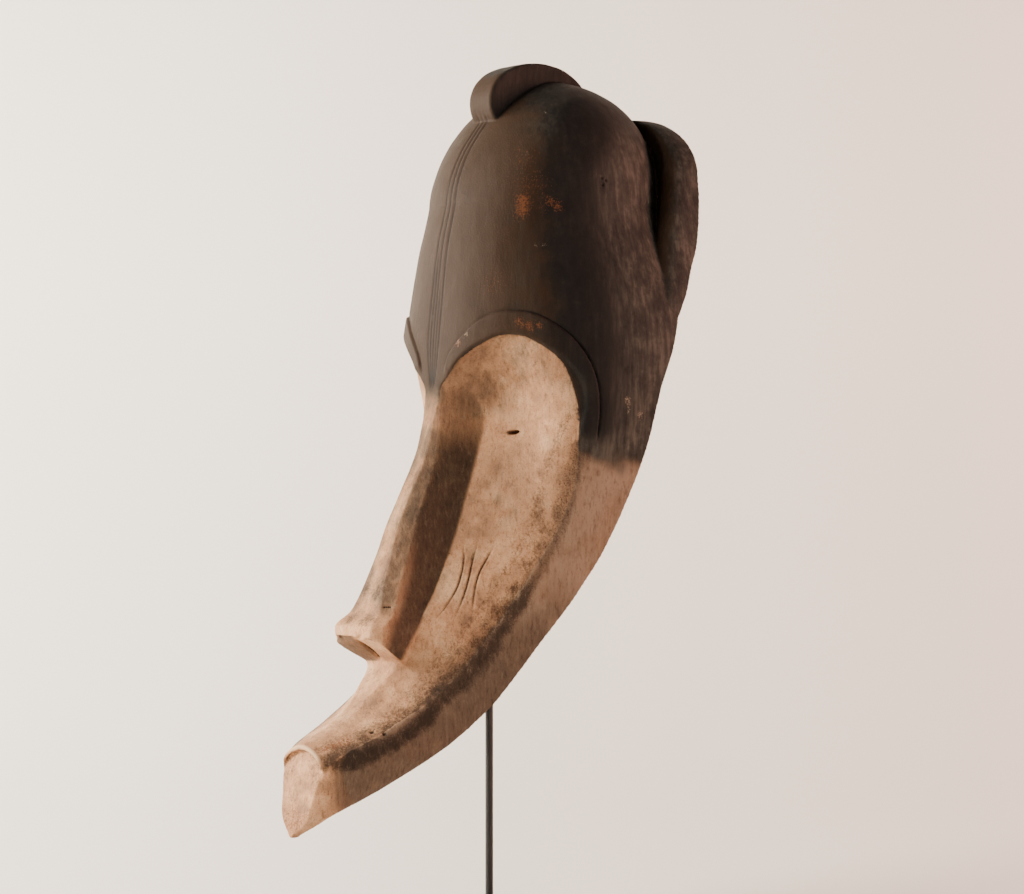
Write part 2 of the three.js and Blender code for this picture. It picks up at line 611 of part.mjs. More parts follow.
// Turns over the long edge of each triangle that is almost a line, with the triangle beyond it
function turnLowTriangles(points, triangles) {
  const result = triangles.map((t) => t.slice());
  const owner = new Map();
  result.forEach((t, n) => t.forEach((a, k) => owner.set(`${a},${t[(k + 1) % 3]}`, n)));
  result.forEach((t, n) => {
    const corner = new THREE.Triangle(...t.map((i) => points[i]));
    const lengths = t.map((a, k) => points[a].distanceTo(points[t[(k + 1) % 3]]));
    const k = lengths.indexOf(Math.max(...lengths));
    if ((2 * corner.getArea()) / lengths[k] > LOW_TRIANGLE) return;
    const [a, b, c] = [t[k], t[(k + 1) % 3], t[(k + 2) % 3]];
    const m = owner.get(`${b},${a}`);
    const d = result[m].find((i) => i !== a && i !== b);
    if (owner.has(`${c},${d}`) || owner.has(`${d},${c}`)) return;
    result[n] = [a, d, c];
    result[m] = [d, b, c];
    owner.delete(`${a},${b}`);
    owner.delete(`${b},${a}`);
    for (const at of [n, m]) {
      result[at].forEach((p, i) => owner.set(`${p},${result[at][(i + 1) % 3]}`, at));
    }
  });
  return result;
}

// Mesh of a solid, cleaned, under its own name and finish
function piece(name, body, finish) {
  const { vertProperties, triVerts } = body.getMesh();
  const points = spread(0, vertProperties.length / 3 - 1, vertProperties.length / 3)
    .map((i) => new THREE.Vector3().fromArray(vertProperties, 3 * Math.round(i)));
  const corners = Array.from(triVerts);
  const raw = corners.filter((_, i) => i % 3 === 0).map((_, i) => corners.slice(3 * i, 3 * i + 3));
  const triangles = turnLowTriangles(points, joinShortEdges(points, raw));
  const geometry = new THREE.BufferGeometry();
  geometry.setAttribute('position', new THREE.BufferAttribute(vertProperties, 3));
  geometry.setIndex(triangles.flat());
  geometry.computeVertexNormals();
  const mesh = new THREE.Mesh(geometry, new THREE.MeshStandardMaterial(finish));
  mesh.name = name;
  return mesh;
}

const carvedWood = { color: 0x6b5a49, roughness: 0.8, metalness: 0 };
const blackSteel = { color: 0x151515, roughness: 0.45, metalness: 0.6 };

const group = new THREE.Group();
group.add(piece('mask', mask(), carvedWood));
group.add(piece('stand_rod', standRod(), blackSteel));
group.add(piece('stand_base', plate(), blackSteel));

export default group;
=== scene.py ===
import bpy
import numpy as np
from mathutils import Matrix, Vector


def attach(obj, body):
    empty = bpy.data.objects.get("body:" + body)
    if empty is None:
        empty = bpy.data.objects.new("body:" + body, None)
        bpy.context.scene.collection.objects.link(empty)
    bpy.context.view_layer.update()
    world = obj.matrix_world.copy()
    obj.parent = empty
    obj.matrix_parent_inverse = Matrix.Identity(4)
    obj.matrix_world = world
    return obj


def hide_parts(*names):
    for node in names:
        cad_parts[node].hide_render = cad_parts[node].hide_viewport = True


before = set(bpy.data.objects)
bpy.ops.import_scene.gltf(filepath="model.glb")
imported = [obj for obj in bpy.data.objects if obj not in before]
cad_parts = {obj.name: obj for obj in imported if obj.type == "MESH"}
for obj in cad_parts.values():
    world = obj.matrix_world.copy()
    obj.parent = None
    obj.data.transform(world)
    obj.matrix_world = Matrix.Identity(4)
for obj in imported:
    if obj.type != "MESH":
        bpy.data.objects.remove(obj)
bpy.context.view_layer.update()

# The block: one billet of light wood stood on end with its grain upright, hewn to a long oval
# that is pointed at the chin and domed at the head before the face was cut into it.
# Sizes in this file are millimetres, and MM turns them to metres.
MM = 0.001
CHIN_Z = 113
DOME_BASE_Z = 675
DOME_TOP_Z = 794
DOME_POWER_FRONT, DOME_POWER_SIDE, DOME_POWER_BACK = 1.6, 2.2, 2.5
DOME_BACK_DEPTH, LOWER_BACK_DEPTH, BACK_SWELL_Z = 113, 110, 560
BLOCK_LEVELS, DOME_LEVELS, FRONT_STEPS, BACK_STEPS = 300, 70, 121, 61


def rail(*knots):
    """Value at a level between knots (level, value): a cubic whose slope at each knot is the
    harmonic mean of the slopes either side, so that it never swings past its knots."""
    z, v = np.array(knots, float).T
    span, slope = np.diff(z), np.diff(v) / np.diff(z)
    before, after = slope[:-1], slope[1:]
    total = np.where(before + after == 0, 1, before + after)
    middle = np.where(before * after > 0, 2 * before * after / total, 0)
    tangent = np.concatenate([slope[:1], middle, slope[-1:]])

    def value(level):
        level = np.clip(level, z[0], z[-1])
        i = np.clip(np.searchsorted(z, level) - 1, 0, len(span) - 1)
        t = (level - z[i]) / span[i]
        rise = t * t * (3 - 2 * t)
        bend = (1 - t) * tangent[i] - t * tangent[i + 1]
        return v[i] * (1 - rise) + v[i + 1] * rise + span[i] * t * (1 - t) * bend

    return value


def arch(t, power):
    """Height of a unit superellipse above the point t of its base."""
    return np.clip(1 - np.abs(t) ** power, 0, None) ** (1 / power)


def smoothstep(low, high, value):
    """Rise from 0 at low to 1 at high, level at both ends."""
    t = np.clip((value - low) / (high - low), 0, 1)
    return t * t * (3 - 2 * t)


front_line = rail((CHIN_Z, -226), (193, -226), (236, -168), (257, -152), (283, -140), (334, -113),
                  (405, -89), (450, -75), (495, -68.4), (550, -65.5), (632, -55), (DOME_BASE_Z, -45.5))
half_width = rail((CHIN_Z, 3), (128, 26), (154, 46), (196, 67), (240, 83), (296, 97), (353, 110),
                  (414, 121), (473, 131), (530, 134), (588, 126), (625, 113.5), (655, 103.5),
                  (DOME_BASE_Z, 100))
rim_line = rail((CHIN_Z, -218), (128, -209), (154, -160), (196, -90), (228, -54.5), (276, -16),
                (323, 21), (387, 57), (445, 78), (511, 95), (549, 110), (606, 136), (645, 154),
                (683, 164), (723, 168))
widest_behind = rail((CHIN_Z, 6), (520, 5), (588, -30), (640, -78), (DOME_BASE_Z, -97))
power_across = rail((CHIN_Z, 2), (480, 2), (540, 2.25), (600, 2.12), (660, 2.08), (720, 2))
power_deep = rail((CHIN_Z, 2), (172, 2), (205, 1.1), (240, 0.97), (283, 1), (334, 1.25), (379, 1.4),
                  (432, 1.6), (486, 1.8), (545, 2), (800, 2))


def block_section(z):
    """Half-width, depth of the widest line, and reach before and behind it, at each level. The
    dome's three measures shrink as superellipses of the height above its foot."""
    t = np.clip((z - DOME_BASE_Z) / (DOME_TOP_Z - DOME_BASE_Z), 0, 1)
    foot = np.minimum(z, DOME_BASE_Z)
    middle = rim_line(foot) + widest_behind(foot)
    back = LOWER_BACK_DEPTH + (DOME_BACK_DEPTH - LOWER_BACK_DEPTH) * smoothstep(BACK_SWELL_Z, DOME_BASE_Z, z)
    return (half_width(foot) * arch(t, DOME_POWER_SIDE), middle,
            (middle - front_line(foot)) * arch(t, DOME_POWER_FRONT), back * arch(t, DOME_POWER_BACK))


def block_y(x, z):
    """Depth of the uncut front surface: a superellipse across and in depth."""
    width, middle, front, _ = block_section(z)
    across = np.clip(np.abs(x) / np.maximum(width, 0.1), 0, 1) ** power_across(z)
    return middle - front * (1 - across) ** (1 / power_deep(z))


def skin(name, rings):
    """Closed mesh through rings[row, step] of points in millimetres: quads join each ring to the
    next, a fan to the ring's mean closes each end, and all faces are turned to point outwards."""
    rows, around = rings.shape[:2]
    points = np.concatenate([rings.reshape(-1, 3), rings[[0, -1]].mean(1)]) * MM
    row, step = np.meshgrid(np.arange(rows - 1), np.arange(around), indexing="ij")
    here, beside = row * around + step, row * around + (step + 1) % around
    quads = np.stack([here, beside, beside + around, here + around], -1).reshape(-1, 4)
    start, end = np.arange(around), (rows - 1) * around + np.arange(around)
    hub = rows * around
    fans = np.concatenate([
        np.stack([np.roll(start, -1), start, np.full(around, hub)], -1),
        np.stack([end, np.roll(end, -1), np.full(around, hub + 1)], -1)])
    halves = np.concatenate([quads[:, [0, 1, 2]], quads[:, [0, 2, 3]], fans])
    a, b, c = points[halves].transpose(1, 0, 2)
    if (a * np.cross(b, c)).sum() < 0:
        quads, fans = quads[:, ::-1], fans[:, ::-1]
    mesh = bpy.data.meshes.new(name)
    mesh.vertices.add(len(points))
    mesh.vertices.foreach_set("co", points.ravel())
    corners = np.concatenate([quads.ravel(), fans.ravel()])
    mesh.loops.add(len(corners))
    mesh.loops.foreach_set("vertex_index", corners)
    mesh.polygons.add(len(quads) + len(fans))
    starts = np.concatenate([4 * np.arange(len(quads)), 4 * len(quads) + 3 * np.arange(len(fans))])
    mesh.polygons.foreach_set("loop_start", starts)
    mesh.update(calc_edges=True)
    body = bpy.data.objects.new(name, mesh)
    bpy.context.scene.collection.objects.link(body)
    return body


def slab(name, levels, near, far, half):
    """Block with level rectangular sections: its near and far faces follow two depths by level."""
    near, far, half = (np.broadcast_to(v, levels.shape) for v in (near, far, half))
    corners = [(-half, near), (half, near), (half, far), (-half, far)]
    return skin(name, np.stack([np.stack([x, y, levels], -1) for x, y in corners], 1))


def closing_levels(low, base, top, even, closing, last_turn=np.pi / 2):
    """Column of levels: even steps from low to base, then steps that shorten towards the top as
    the sine of even turns does."""
    rise = np.sin(np.linspace(0, last_turn, closing)[1:])
    return np.concatenate([np.linspace(low, base, even), base + (top - base) * rise])[:, None]


z = closing_levels(CHIN_Z, DOME_BASE_Z, DOME_TOP_Z, BLOCK_LEVELS, DOME_LEVELS)
width, middle, front, back = block_section(z)
turn = np.linspace(0, np.pi, FRONT_STEPS)[None]
reach = np.linspace(np.pi, 2 * np.pi, BACK_STEPS)[None, 1:-1]
front_half = np.stack(np.broadcast_arrays(
    np.sign(np.cos(turn)) * width * np.abs(np.cos(turn)) ** (2 / power_across(z)),
    middle - front * np.abs(np.sin(turn)) ** (2 / power_deep(z)), z), -1)
back_half = np.stack(np.broadcast_arrays(
    width * np.cos(reach), middle - back * np.sin(reach), z), -1)
mask = skin("mask_wood", np.concatenate([front_half, back_half], 1))

# The nose: left standing on the block as a long wedge, widest at its tip, slightly crowned
# across its front. Its sides are cut with the face hollows below.
NOSE_BOTTOM_Z, NOSE_TIP_Z, NOSE_MARGIN, NOSE_CROWN, BEVEL_SLOPE = 262, 283, 10, 3, 0.9
NOSE_BELOW_Z, NOSE_ROOT_Z, NOSE_THICKNESS = 245, 520, 60
nose_front = rail((245, -156), (292, -155), (306, -141.5), (331, -130), (357, -119.6), (378, -112),
                  (405, -98.5), (450, -76.4), (480, -68.8), (520, -60))
nose_edge = rail((262, 25), (270, 30.5), (283, 34.5), (294, 35), (306, 30.5), (317, 27.5), (331, 24.5),
                 (352, 22), (378, 20), (405, 17.5), (450, 14), (500, 11), (600, 11))
nose_slope = rail((262, 9), (283, 14), (306, 12), (331, 9.5), (352, 7), (378, 6), (405, 5.2),
                  (450, 3.6), (500, 2.3), (600, 1.6))
nose_bevel = rail((262, 6), (331, 7.5), (378, 8), (405, 6.5), (450, 3), (480, 1.5), (600, 1))


def edges(half, y, z, sides=(1, -1)):
    """Points of two upright edges at one depth, half a width out to each side, level by level."""
    return np.stack([np.stack(np.broadcast_arrays(side * half, y, z), -1)[:, 0] for side in sides], 1)


z = np.linspace(NOSE_BELOW_Z, NOSE_ROOT_Z, 140)[:, None]
across = np.linspace(-1, 1, 41)[None]
half = nose_edge(z) + NOSE_MARGIN
tip = np.stack(np.broadcast_arrays(across * half, nose_front(z) - NOSE_CROWN * (1 - across ** 2), z), -1)
nose = skin("nose_wood", np.concatenate([tip, edges(half, nose_front(z) + NOSE_THICKNESS, z)], 1))

# The hood: behind the dome the block was left as one broad upright arch, its front dished where
# it meets the dome and its two shoulders brought forward to a soft corner.
HOOD_FOOT_Z, HOOD_ARCH_BASE_Z, HOOD_TOP_Z, HOOD_POWER, HOOD_VALLEY_POWER = 520, 690, 766, 2.3, 3
HOOD_VALLEY_Y, HOOD_REAR_Y, HOOD_CORNER_START, HOOD_CORNER_DEPTH = 153, 190, 0.86, 20
hood_width = rail((520, 122), (560, 127), (588, 128), (624, 121), (664, 113.5), (700, 106))
hood_edge = rail((520, 60), (585, 96), (630, 112), (690, 131), (735, 143), (766, 150))
z = closing_levels(HOOD_FOOT_Z, HOOD_ARCH_BASE_Z, HOOD_TOP_Z, 80, 50, np.radians(87.5))
across = np.concatenate([np.linspace(0, HOOD_CORNER_START, 34)[:-1], np.linspace(HOOD_CORNER_START, 1, 22)])
across = np.concatenate([-across[:0:-1], across])[None]
rise = np.clip((z - HOOD_ARCH_BASE_Z) / (HOOD_TOP_Z - HOOD_ARCH_BASE_Z), 0, 1)
width = hood_width(z) * arch(rise, HOOD_POWER)
valley = np.clip(np.abs(across) / HOOD_CORNER_START, 0, 1) ** HOOD_VALLEY_POWER
corner = np.clip((np.abs(across) - HOOD_CORNER_START) / (1 - HOOD_CORNER_START), 0, 1)
face = HOOD_VALLEY_Y + (hood_edge(z) - HOOD_VALLEY_Y) * valley + HOOD_CORNER_DEPTH * (1 - arch(corner, 2))
dish = np.stack(np.broadcast_arrays(across * width, face, z), -1)
hood = skin("hood_wood", np.concatenate([dish, edges(width, HOOD_REAR_Y, z)], 1))

# The crest: an upright oval disc on the middle line, sunk in the top of the dome, with faintly
# dished sides and an edge eased with the knife.
CREST_CENTRE_Y, CREST_CENTRE_Z, CREST_RADIUS_Y, CREST_RADIUS_Z = 50, 770, 62, 40
CREST_HALF_THICKNESS, CREST_EDGE_ROUND, CREST_SCOOP = 16.5, 3, 2
profile = np.array([(CREST_HALF_THICKNESS - CREST_SCOOP, 0.5),
                    (CREST_HALF_THICKNESS - 0.5 * CREST_SCOOP, 0.8), (CREST_HALF_THICKNESS, 0.95),
                    (CREST_HALF_THICKNESS - 0.3 * CREST_EDGE_ROUND, 0.985),
                    (CREST_HALF_THICKNESS - CREST_EDGE_ROUND, 1)])
profile = np.concatenate([profile * (-1, 1), profile[::-1]])[:, :, None]
turn = np.linspace(0, 2 * np.pi, 181)[None, 1:]
crest = skin("crest_wood", np.stack(np.broadcast_arrays(
    profile[:, 0], CREST_CENTRE_Y - profile[:, 1] * CREST_RADIUS_Y * np.cos(turn),
    CREST_CENTRE_Z + profile[:, 1] * CREST_RADIUS_Z * np.sin(turn)), -1))

# The face hollows: two long scoops either side of the nose, under the arched brow, in from the
# cheek ridges. They run together under the nose, whose end is cut slanting up with a notch.
FACE_TOP_Z, FACE_BOTTOM_Z, FACE_MARGIN, CLEAR_Y = 556, 170, 8, -330
RIDGE_SLOPE, FLOOR_POWER, MIDDLE_LAP, MIDDLE_CROWDING = 2.5, 1.15, 0.5, 1.3
BROW_SLOPE_NEAR, BROW_SLOPE_FAR, BROW_NEAR_X, BROW_FAR_X = 1.7, 0.65, 15, 105
BROW_ROUND, RIDGE_ROUND, NOSE_ROUND = 26, 4, 7
NOSE_FADE_Z, NOSE_END_RUN, NOSE_END_FULLNESS, NOTCH_DEPTH, NOTCH_HALF_WIDTH = 480, 30, 0.3, 4, 24
BROW_ARC = np.array([(-90, 450), (-10, 496), (14, 511), (33, 534), (55, 549), (77, 556), (99, 542),
                     (113, 518), (118.5, 490), (123, 450), (140, 380)], float)
SLIT_DEPTH, SLIT_Z, SLIT_HALF_WIDTH, SLIT_HALF_HEIGHT = 13, 273, 4.6, 9
ridge_line = rail((170, 32), (182, 36), (197, 45), (220, 53), (236, 58), (260, 66), (299, 77),
                  (334, 87), (379, 99), (432, 110), (486, 117.5), (576, 118))
flat_width = rail((193, 3), (227, 9), (257, 20), (284, 34), (299, 37), (334, 32), (392, 27), (520, 22))
flat_y = rail((170, -252), (193, -211), (213, -169), (227, -151), (240, -139.5), (257, -125.5),
              (270, -124.5), (284, -118.5), (299, -109), (316, -94.5), (334, -83), (392, -56.5),
              (441, -38), (491, -23), (576, 0))


def curve_through(points, steps):
    """Catmull-Rom curve: between two points it is the cubic whose end slopes are half the step
    from the point before to the point after, with the end points doubled."""
    points = np.asarray(points, float)
    held = np.concatenate([points[:1], points, points[-1:]])
    t = np.linspace(0, len(points) - 1, steps)
    i = np.minimum(t.astype(int), len(points) - 2)
    u = (t - i)[:, None]
    a, b, c, d = (held[i + k] for k in range(4))
    return 0.5 * (2 * b + (c - a) * u + (2 * a - 5 * b + 4 * c - d) * u ** 2
                  + (3 * b - a - 3 * c + d) * u ** 3)


def path_distance(points, path):
    """Distance of each point from a path of straight steps, and how far along the path, from 0
    to 1, its nearest place is. Both are worked out one step of the path at a time."""
    nearest = np.full(len(points), np.inf)
    along = np.zeros(len(points))
    for i, (a, b) in enumerate(zip(path[:-1], path[1:])):
        run = b - a
        t = np.clip((points - a) @ run / (run @ run), 0, 1)
        distance = np.linalg.norm(points - a - t[:, None] * run, axis=1)
        closer = distance < nearest
        nearest[closer] = distance[closer]
        along[closer] = (i + t[closer]) / (len(path) - 1)
    return nearest, along


BROW_HALF = 40
brow_arc = curve_through(BROW_ARC, 2 * BROW_HALF + 1)


def brow_distance(x, z):
    """Signed distance inside the brow arc in the frontal plane. The distances a and b from its
    two halves are joined as ab / cube root of (a cubed + b cubed), which leaves no crease."""
    flat = np.stack([x.ravel(), z.ravel()], -1)
    halves = [path_distance(flat, brow_arc[:BROW_HALF + 1]), path_distance(flat, brow_arc[BROW_HALF:])]
    (a, a_along), (b, b_along) = halves
    i = np.where(a <= b, a_along * BROW_HALF, BROW_HALF + b_along * BROW_HALF)
    i = np.clip(i.astype(int), 0, len(brow_arc) - 2)
    run = brow_arc[i + 1] - brow_arc[i]
    to = flat - brow_arc[i]
    inside = run[:, 0] * to[:, 1] - run[:, 1] * to[:, 0] < 0
    joined = a * b / np.cbrt(a ** 3 + b ** 3 + 1e-9)
    return np.where(inside, joined, -joined).reshape(x.shape)


def soft_min(a, b, width):
    """The lesser of two values, with the corner between them rounded off over a width."""
    h = np.clip(width - np.abs(a - b), 0, None) / width
    return np.minimum(a, b) - h * h * width / 4


def face_bed(x, z):
    """Depth of the hollows' bed: level beside the nose, bowed back to the ridge, and kept in by
    the slopes that fall from the brow and the cheek ridge."""
    ridge = ridge_line(z)
    ridge_y = block_y(ridge, z)
    t = np.clip((x - flat_width(z)) / (ridge - flat_width(z)), 0, None)
    bed = ridge_y + (flat_y(z) - ridge_y) * (1 - t ** FLOOR_POWER)
    surface = block_y(x, z)
    slope = BROW_SLOPE_NEAR + (BROW_SLOPE_FAR - BROW_SLOPE_NEAR) * smoothstep(BROW_NEAR_X, BROW_FAR_X, x)
    bed = soft_min(bed, surface + slope * brow_distance(x, z), BROW_ROUND)
    return soft_min(bed, surface + RIDGE_SLOPE * (ridge - x), RIDGE_ROUND)


def slit(x, z):
    """Share of the narrow slit gouged in the middle of the nose's end, from 0 to 1."""
    high = np.clip(1 - ((z - SLIT_Z) / SLIT_HALF_HEIGHT) ** 2, 0, None)
    return np.clip(1 - x / (SLIT_HALF_WIDTH * np.sqrt(high) + 0.01), 0, None)


def face_y(x, z, side):
    """Depth of the cut face: the bed, with the nose's bevelled side standing out of it, and the
    bed alone under the nose's slanted, notched end, which is fuller on the far side."""
    bed = face_bed(x, z)
    start = np.where(z < NOSE_FADE_Z, nose_front(z), block_y(x, z))
    flank = np.maximum(nose_slope(z) * (x - nose_edge(z)),
                       BEVEL_SLOPE * (x - nose_edge(z) + nose_bevel(z)))
    beside = soft_min(bed, start + flank, NOSE_ROUND)
    rise = (z - NOSE_BOTTOM_Z) / (NOSE_TIP_Z - NOSE_BOTTOM_Z)
    notch = NOTCH_DEPTH * np.clip(1 - x / NOTCH_HALF_WIDTH, 0, None)
    notch = notch * np.clip(1 - (2 * rise - 1) ** 2, 0, None)
    fuller = NOSE_END_FULLNESS * smoothstep(0, NOTCH_HALF_WIDTH, x) * (side < 0)
    run = np.where(rise < 1, 1 - np.clip(1 - rise, 0, None) ** (1 + fuller), rise)
    below = flat_y(NOSE_BOTTOM_Z) - NOSE_END_RUN * run + notch + SLIT_DEPTH * slit(x, z)
    return np.maximum(beside, np.minimum(bed, below))


def face_scoop(side):
    """Wood cut away on one side: from the face's surface out to a plane clear of the nose."""
    z = np.linspace(FACE_BOTTOM_Z, FACE_TOP_Z + FACE_MARGIN, 260)[:, None]
    outer = ridge_line(z) + FACE_MARGIN
    x = -MIDDLE_LAP + (outer + MIDDLE_LAP) * np.linspace(0, 1, 110)[None] ** MIDDLE_CROWDING
    z = np.broadcast_to(z, x.shape)
    floor = np.stack([side * x, face_y(np.abs(x), z, side), z], -1)
    clear = [np.stack([side * x[:, k], np.full(len(x), CLEAR_Y), z[:, 0]], -1) for k in (-1, 0)]
    return skin("face_scoop", np.concatenate([floor, np.stack(clear, 1)], 1))


# The mouth: the muzzle's end is sawn to a flat lip, and under its arc the chin is pared back to
# one long facet, bowed a little, running down to the point.
LIP_Y, LIP_HALF_WIDTH, LIP_TOP_Z, LIP_BASE_Z, LIP_CUT_TOP_Z = -212, 30, 188, 166, 230
FACET_TOP_Y, FACET_BOTTOM_Y, FACET_BOW, LIP_STEP, BELOW_CHIN, PAST_SIDES = -206.5, -222, 2, 0.01, 5, 180
lip_cut = slab("lip_cut", np.array([LIP_BASE_Z, LIP_CUT_TOP_Z]), CLEAR_Y, LIP_Y, PAST_SIDES)
above = LIP_BASE_Z + LIP_STEP + (LIP_TOP_Z - LIP_BASE_Z) * np.sin(np.linspace(0, np.pi / 2, 30))
z = np.concatenate([np.linspace(CHIN_Z - BELOW_CHIN, LIP_BASE_Z, 24), above])[:, None]
t = (z - LIP_BASE_Z) / (LIP_TOP_Z - LIP_BASE_Z)
width = np.where(t <= 0, 2 * LIP_HALF_WIDTH, LIP_HALF_WIDTH * arch(np.clip(t, 0, 1), 2))
across = np.linspace(-1, 1, 31)[None]
slope = FACET_BOTTOM_Y + (FACET_TOP_Y - FACET_BOTTOM_Y) * (z - CHIN_Z) / (LIP_TOP_Z - CHIN_Z)
bow = FACET_BOW * np.minimum(1, width / LIP_HALF_WIDTH) * (1 - across ** 2)
facet = np.stack(np.broadcast_arrays(across * width, slope - bow, z), -1)
facet_cut = skin("facet_cut", np.concatenate([facet, edges(width, CLEAR_Y, z)], 1))

# The inside: hollowed from behind with an adze to a wall two fingers thick, wide behind the face,
# with a domed chamber inside the head. The rear edge of the walls is one trimmed surface.
HOLLOW_BOTTOM_Z, HOLLOW_ARCH_Z, HOLLOW_TOP_Z, PAST_RIM = 182, 690, 742, 60
CHAMBER_BOTTOM_Z, CHAMBER_TURN_Z, CHAMBER_TOP_Z, CHAMBER_MIDDLE_Y = 590, 756, 767.8, 67
PAST_CHIN, PAST_DOME, PAST_REAR_Y = 20, 40, 400.0
hollow_front = rail((182, -113), (190, -130), (206, -140), (236, -124), (257, -105), (296, -91),
                    (353, -68), (405, -47), (441, -29), (480, -13), (530, -13), (600, -25),
                    (645, -31), (668, -5), (690, 40), (742, 130))
hollow_width = rail((182, 0), (190, 22), (206, 42), (236, 59), (257, 67), (296, 79), (353, 92),
                    (414, 103), (473, 112), (530, 114), (588, 107), (625, 94), (650, 78), (675, 64),
                    (690, 56))
hollow_power = rail((182, 1.6), (500, 1.6), (620, 2.1), (742, 2.1))
chamber_width = rail((590, 82), (625, 91), (655, 87), (690, 83), (720, 77), (742, 65), (756, 48),
                     (765, 26), (768, 0))
chamber_front = rail((590, -5), (640, -29), (665, -30.5), (690, -24), (720, -9), (742, 6), (756, 22),
                     (765, 44), (768, 67))
chamber_back = rail((590, 100), (625, 124), (655, 136), (690, 139), (720, 136), (742, 126),
                    (756, 110), (765, 86), (768, 67))
z = closing_levels(HOLLOW_BOTTOM_Z, HOLLOW_ARCH_Z, HOLLOW_TOP_Z, 130, 30)
turn = np.linspace(0, np.pi, 81)[None]
width = hollow_width(z) * arch(np.clip((z - HOLLOW_ARCH_Z) / (HOLLOW_TOP_Z - HOLLOW_ARCH_Z), 0, 1), 2)
power = 2 / hollow_power(z)
scoop = np.stack(np.broadcast_arrays(
    np.sign(np.cos(turn)) * width * np.abs(np.cos(turn)) ** power,
    rim_line(z) - (rim_line(z) - hollow_front(z)) * np.abs(np.sin(turn)) ** power, z), -1)
mouth = edges(width, rim_line(z) + PAST_RIM, z, (-1, 1))
hollow = skin("hollow", np.concatenate([scoop, mouth], 1))
z = np.concatenate([np.linspace(CHAMBER_BOTTOM_Z, CHAMBER_TURN_Z, 60),
                    np.linspace(CHAMBER_TURN_Z, CHAMBER_TOP_Z, 12)[1:]])[:, None]
turn = np.linspace(0, 2 * np.pi, 121)[None, 1:]
depth = np.where(np.sin(turn) < 0, CHAMBER_MIDDLE_Y - chamber_front(z), chamber_back(z) - CHAMBER_MIDDLE_Y)
chamber = skin("chamber", np.stack(np.broadcast_arrays(
    chamber_width(z) * np.cos(turn), CHAMBER_MIDDLE_Y + depth * np.sin(turn), z), -1))
levels = np.linspace(CHIN_Z - PAST_CHIN, DOME_TOP_Z + PAST_DOME, 200)
behind_rim = slab("behind_rim", levels, rim_line(levels), PAST_REAR_Y, PAST_SIDES)

# The eyes: two narrow slits, pointed at both ends and tilted a little, cut right through.
EYE_X, EYE_Z, EYE_HALF_LENGTH, EYE_HALF_HEIGHT, EYE_TILT = 52.5, 466, 7.2, 2.1, np.radians(8)
EYE_BAR_FRONT_Y, EYE_BAR_REAR_Y = -45.0, 60.0


def eye_cut(side):
    """Bar through the wall with a section whose half height falls from its middle to its two
    ends as one less the square of the way along."""
    turn = np.linspace(0, 2 * np.pi, 41)[1:]
    along = EYE_HALF_LENGTH * np.cos(turn)
    up = EYE_HALF_HEIGHT * np.sin(turn) * np.abs(np.sin(turn)) + along * np.tan(EYE_TILT)
    return skin("eye_cut", np.stack([np.stack(np.broadcast_arrays(side * (EYE_X + along), y, EYE_Z + up), -1)
                                     for y in (EYE_BAR_FRONT_Y, EYE_BAR_REAR_Y)]))


# The carving is joined and cut in the order it was worked, then brought to one fine skin with
# cells of 1.15 mm, which also takes the sharpness off each arris as handling has done.
CELL = 1.15
TRIANGLES = 196000
EASING, EASING_ROUNDS = 0.5, 2
joins = [("UNION", nose), ("UNION", hood), ("DIFFERENCE", behind_rim), ("UNION", crest)]
cuts = [face_scoop(1), face_scoop(-1), lip_cut, facet_cut, hollow, chamber, eye_cut(1), eye_cut(-1)]
for operation, tool in joins + [("DIFFERENCE", cut) for cut in cuts]:
    step = mask.modifiers.new(tool.name, "BOOLEAN")
    step.operation, step.object, step.solver = operation, tool, "MANIFOLD"
fine = mask.modifiers.new("one skin", "REMESH")
fine.mode, fine.voxel_size, fine.use_smooth_shade = "VOXEL", CELL * MM, True
ease = mask.modifiers.new("eased", "SMOOTH")
ease.factor, ease.iterations = EASING, EASING_ROUNDS


def settle(body):
    """Replaces a body's mesh with what its modifiers make of it, and removes them."""
    made = bpy.data.meshes.new_from_object(body.evaluated_get(bpy.context.evaluated_depsgraph_get()))
    body.modifiers.clear()
    body.data = made


settle(mask)
for tool in [tool for _, tool in joins] + cuts:
    bpy.data.objects.remove(tool)

# The worked surface: the unevenness that knife and adze leave, the raised band over each brow
# with its cut line, the lines down the forehead, three cheek scars a side, the lip's rim, pits,
# insect holes and the chipped tip of the nose. It is pressed into the skin along its normals.
# The paths are points (x, y, z), mostly at positive x, the mask's own left, and most of them are
# used on both halves.
BROW_LINE = [(14.9, -66.3, 517.9), (18.2, -65.5, 529.6), (22.5, -64.4, 538.5), (31.2, -62.1, 549.1),
             (49.4, -53.7, 565.8), (66.5, -42.3, 574.4), (86.5, -24.1, 573.3), (99.7, -8.5, 564.4),
             (110, 6.2, 551.1), (116.7, 18.3, 533.3), (119.7, 26.4, 512.8), (119.5, 30.1, 490.5),
             (118, 29.7, 468), (117, 28.7, 456)]
BROW_ARRIS = [(18.1, -65.4, 515), (28.8, -63.6, 529), (39.8, -59.8, 538), (52.4, -53.9, 546),
              (68.3, -43.8, 554), (88.6, -25.9, 552), (105, -4.8, 538.5), (114.3, 13.2, 518),
              (115.8, 20.2, 495), (112.8, 16.9, 468), (110.6, 14.1, 455)]
CHEEK_SCARS = [
    [(37.8, -61.6, 366), (42.1, -64, 354), (44.9, -69, 340), (46.3, -76.5, 325.5), (46.1, -89, 310),
     (44, -99.7, 299)],
    [(47.8, -53, 367), (48.7, -59, 352.7), (50.9, -65.8, 335), (52.8, -73.8, 318.5), (54, -86, 297.7)],
    [(60.3, -41.8, 367), (57.7, -50.5, 352.8), (56.1, -59, 338), (58.4, -65.7, 321), (63, -73.5, 291.5)]]
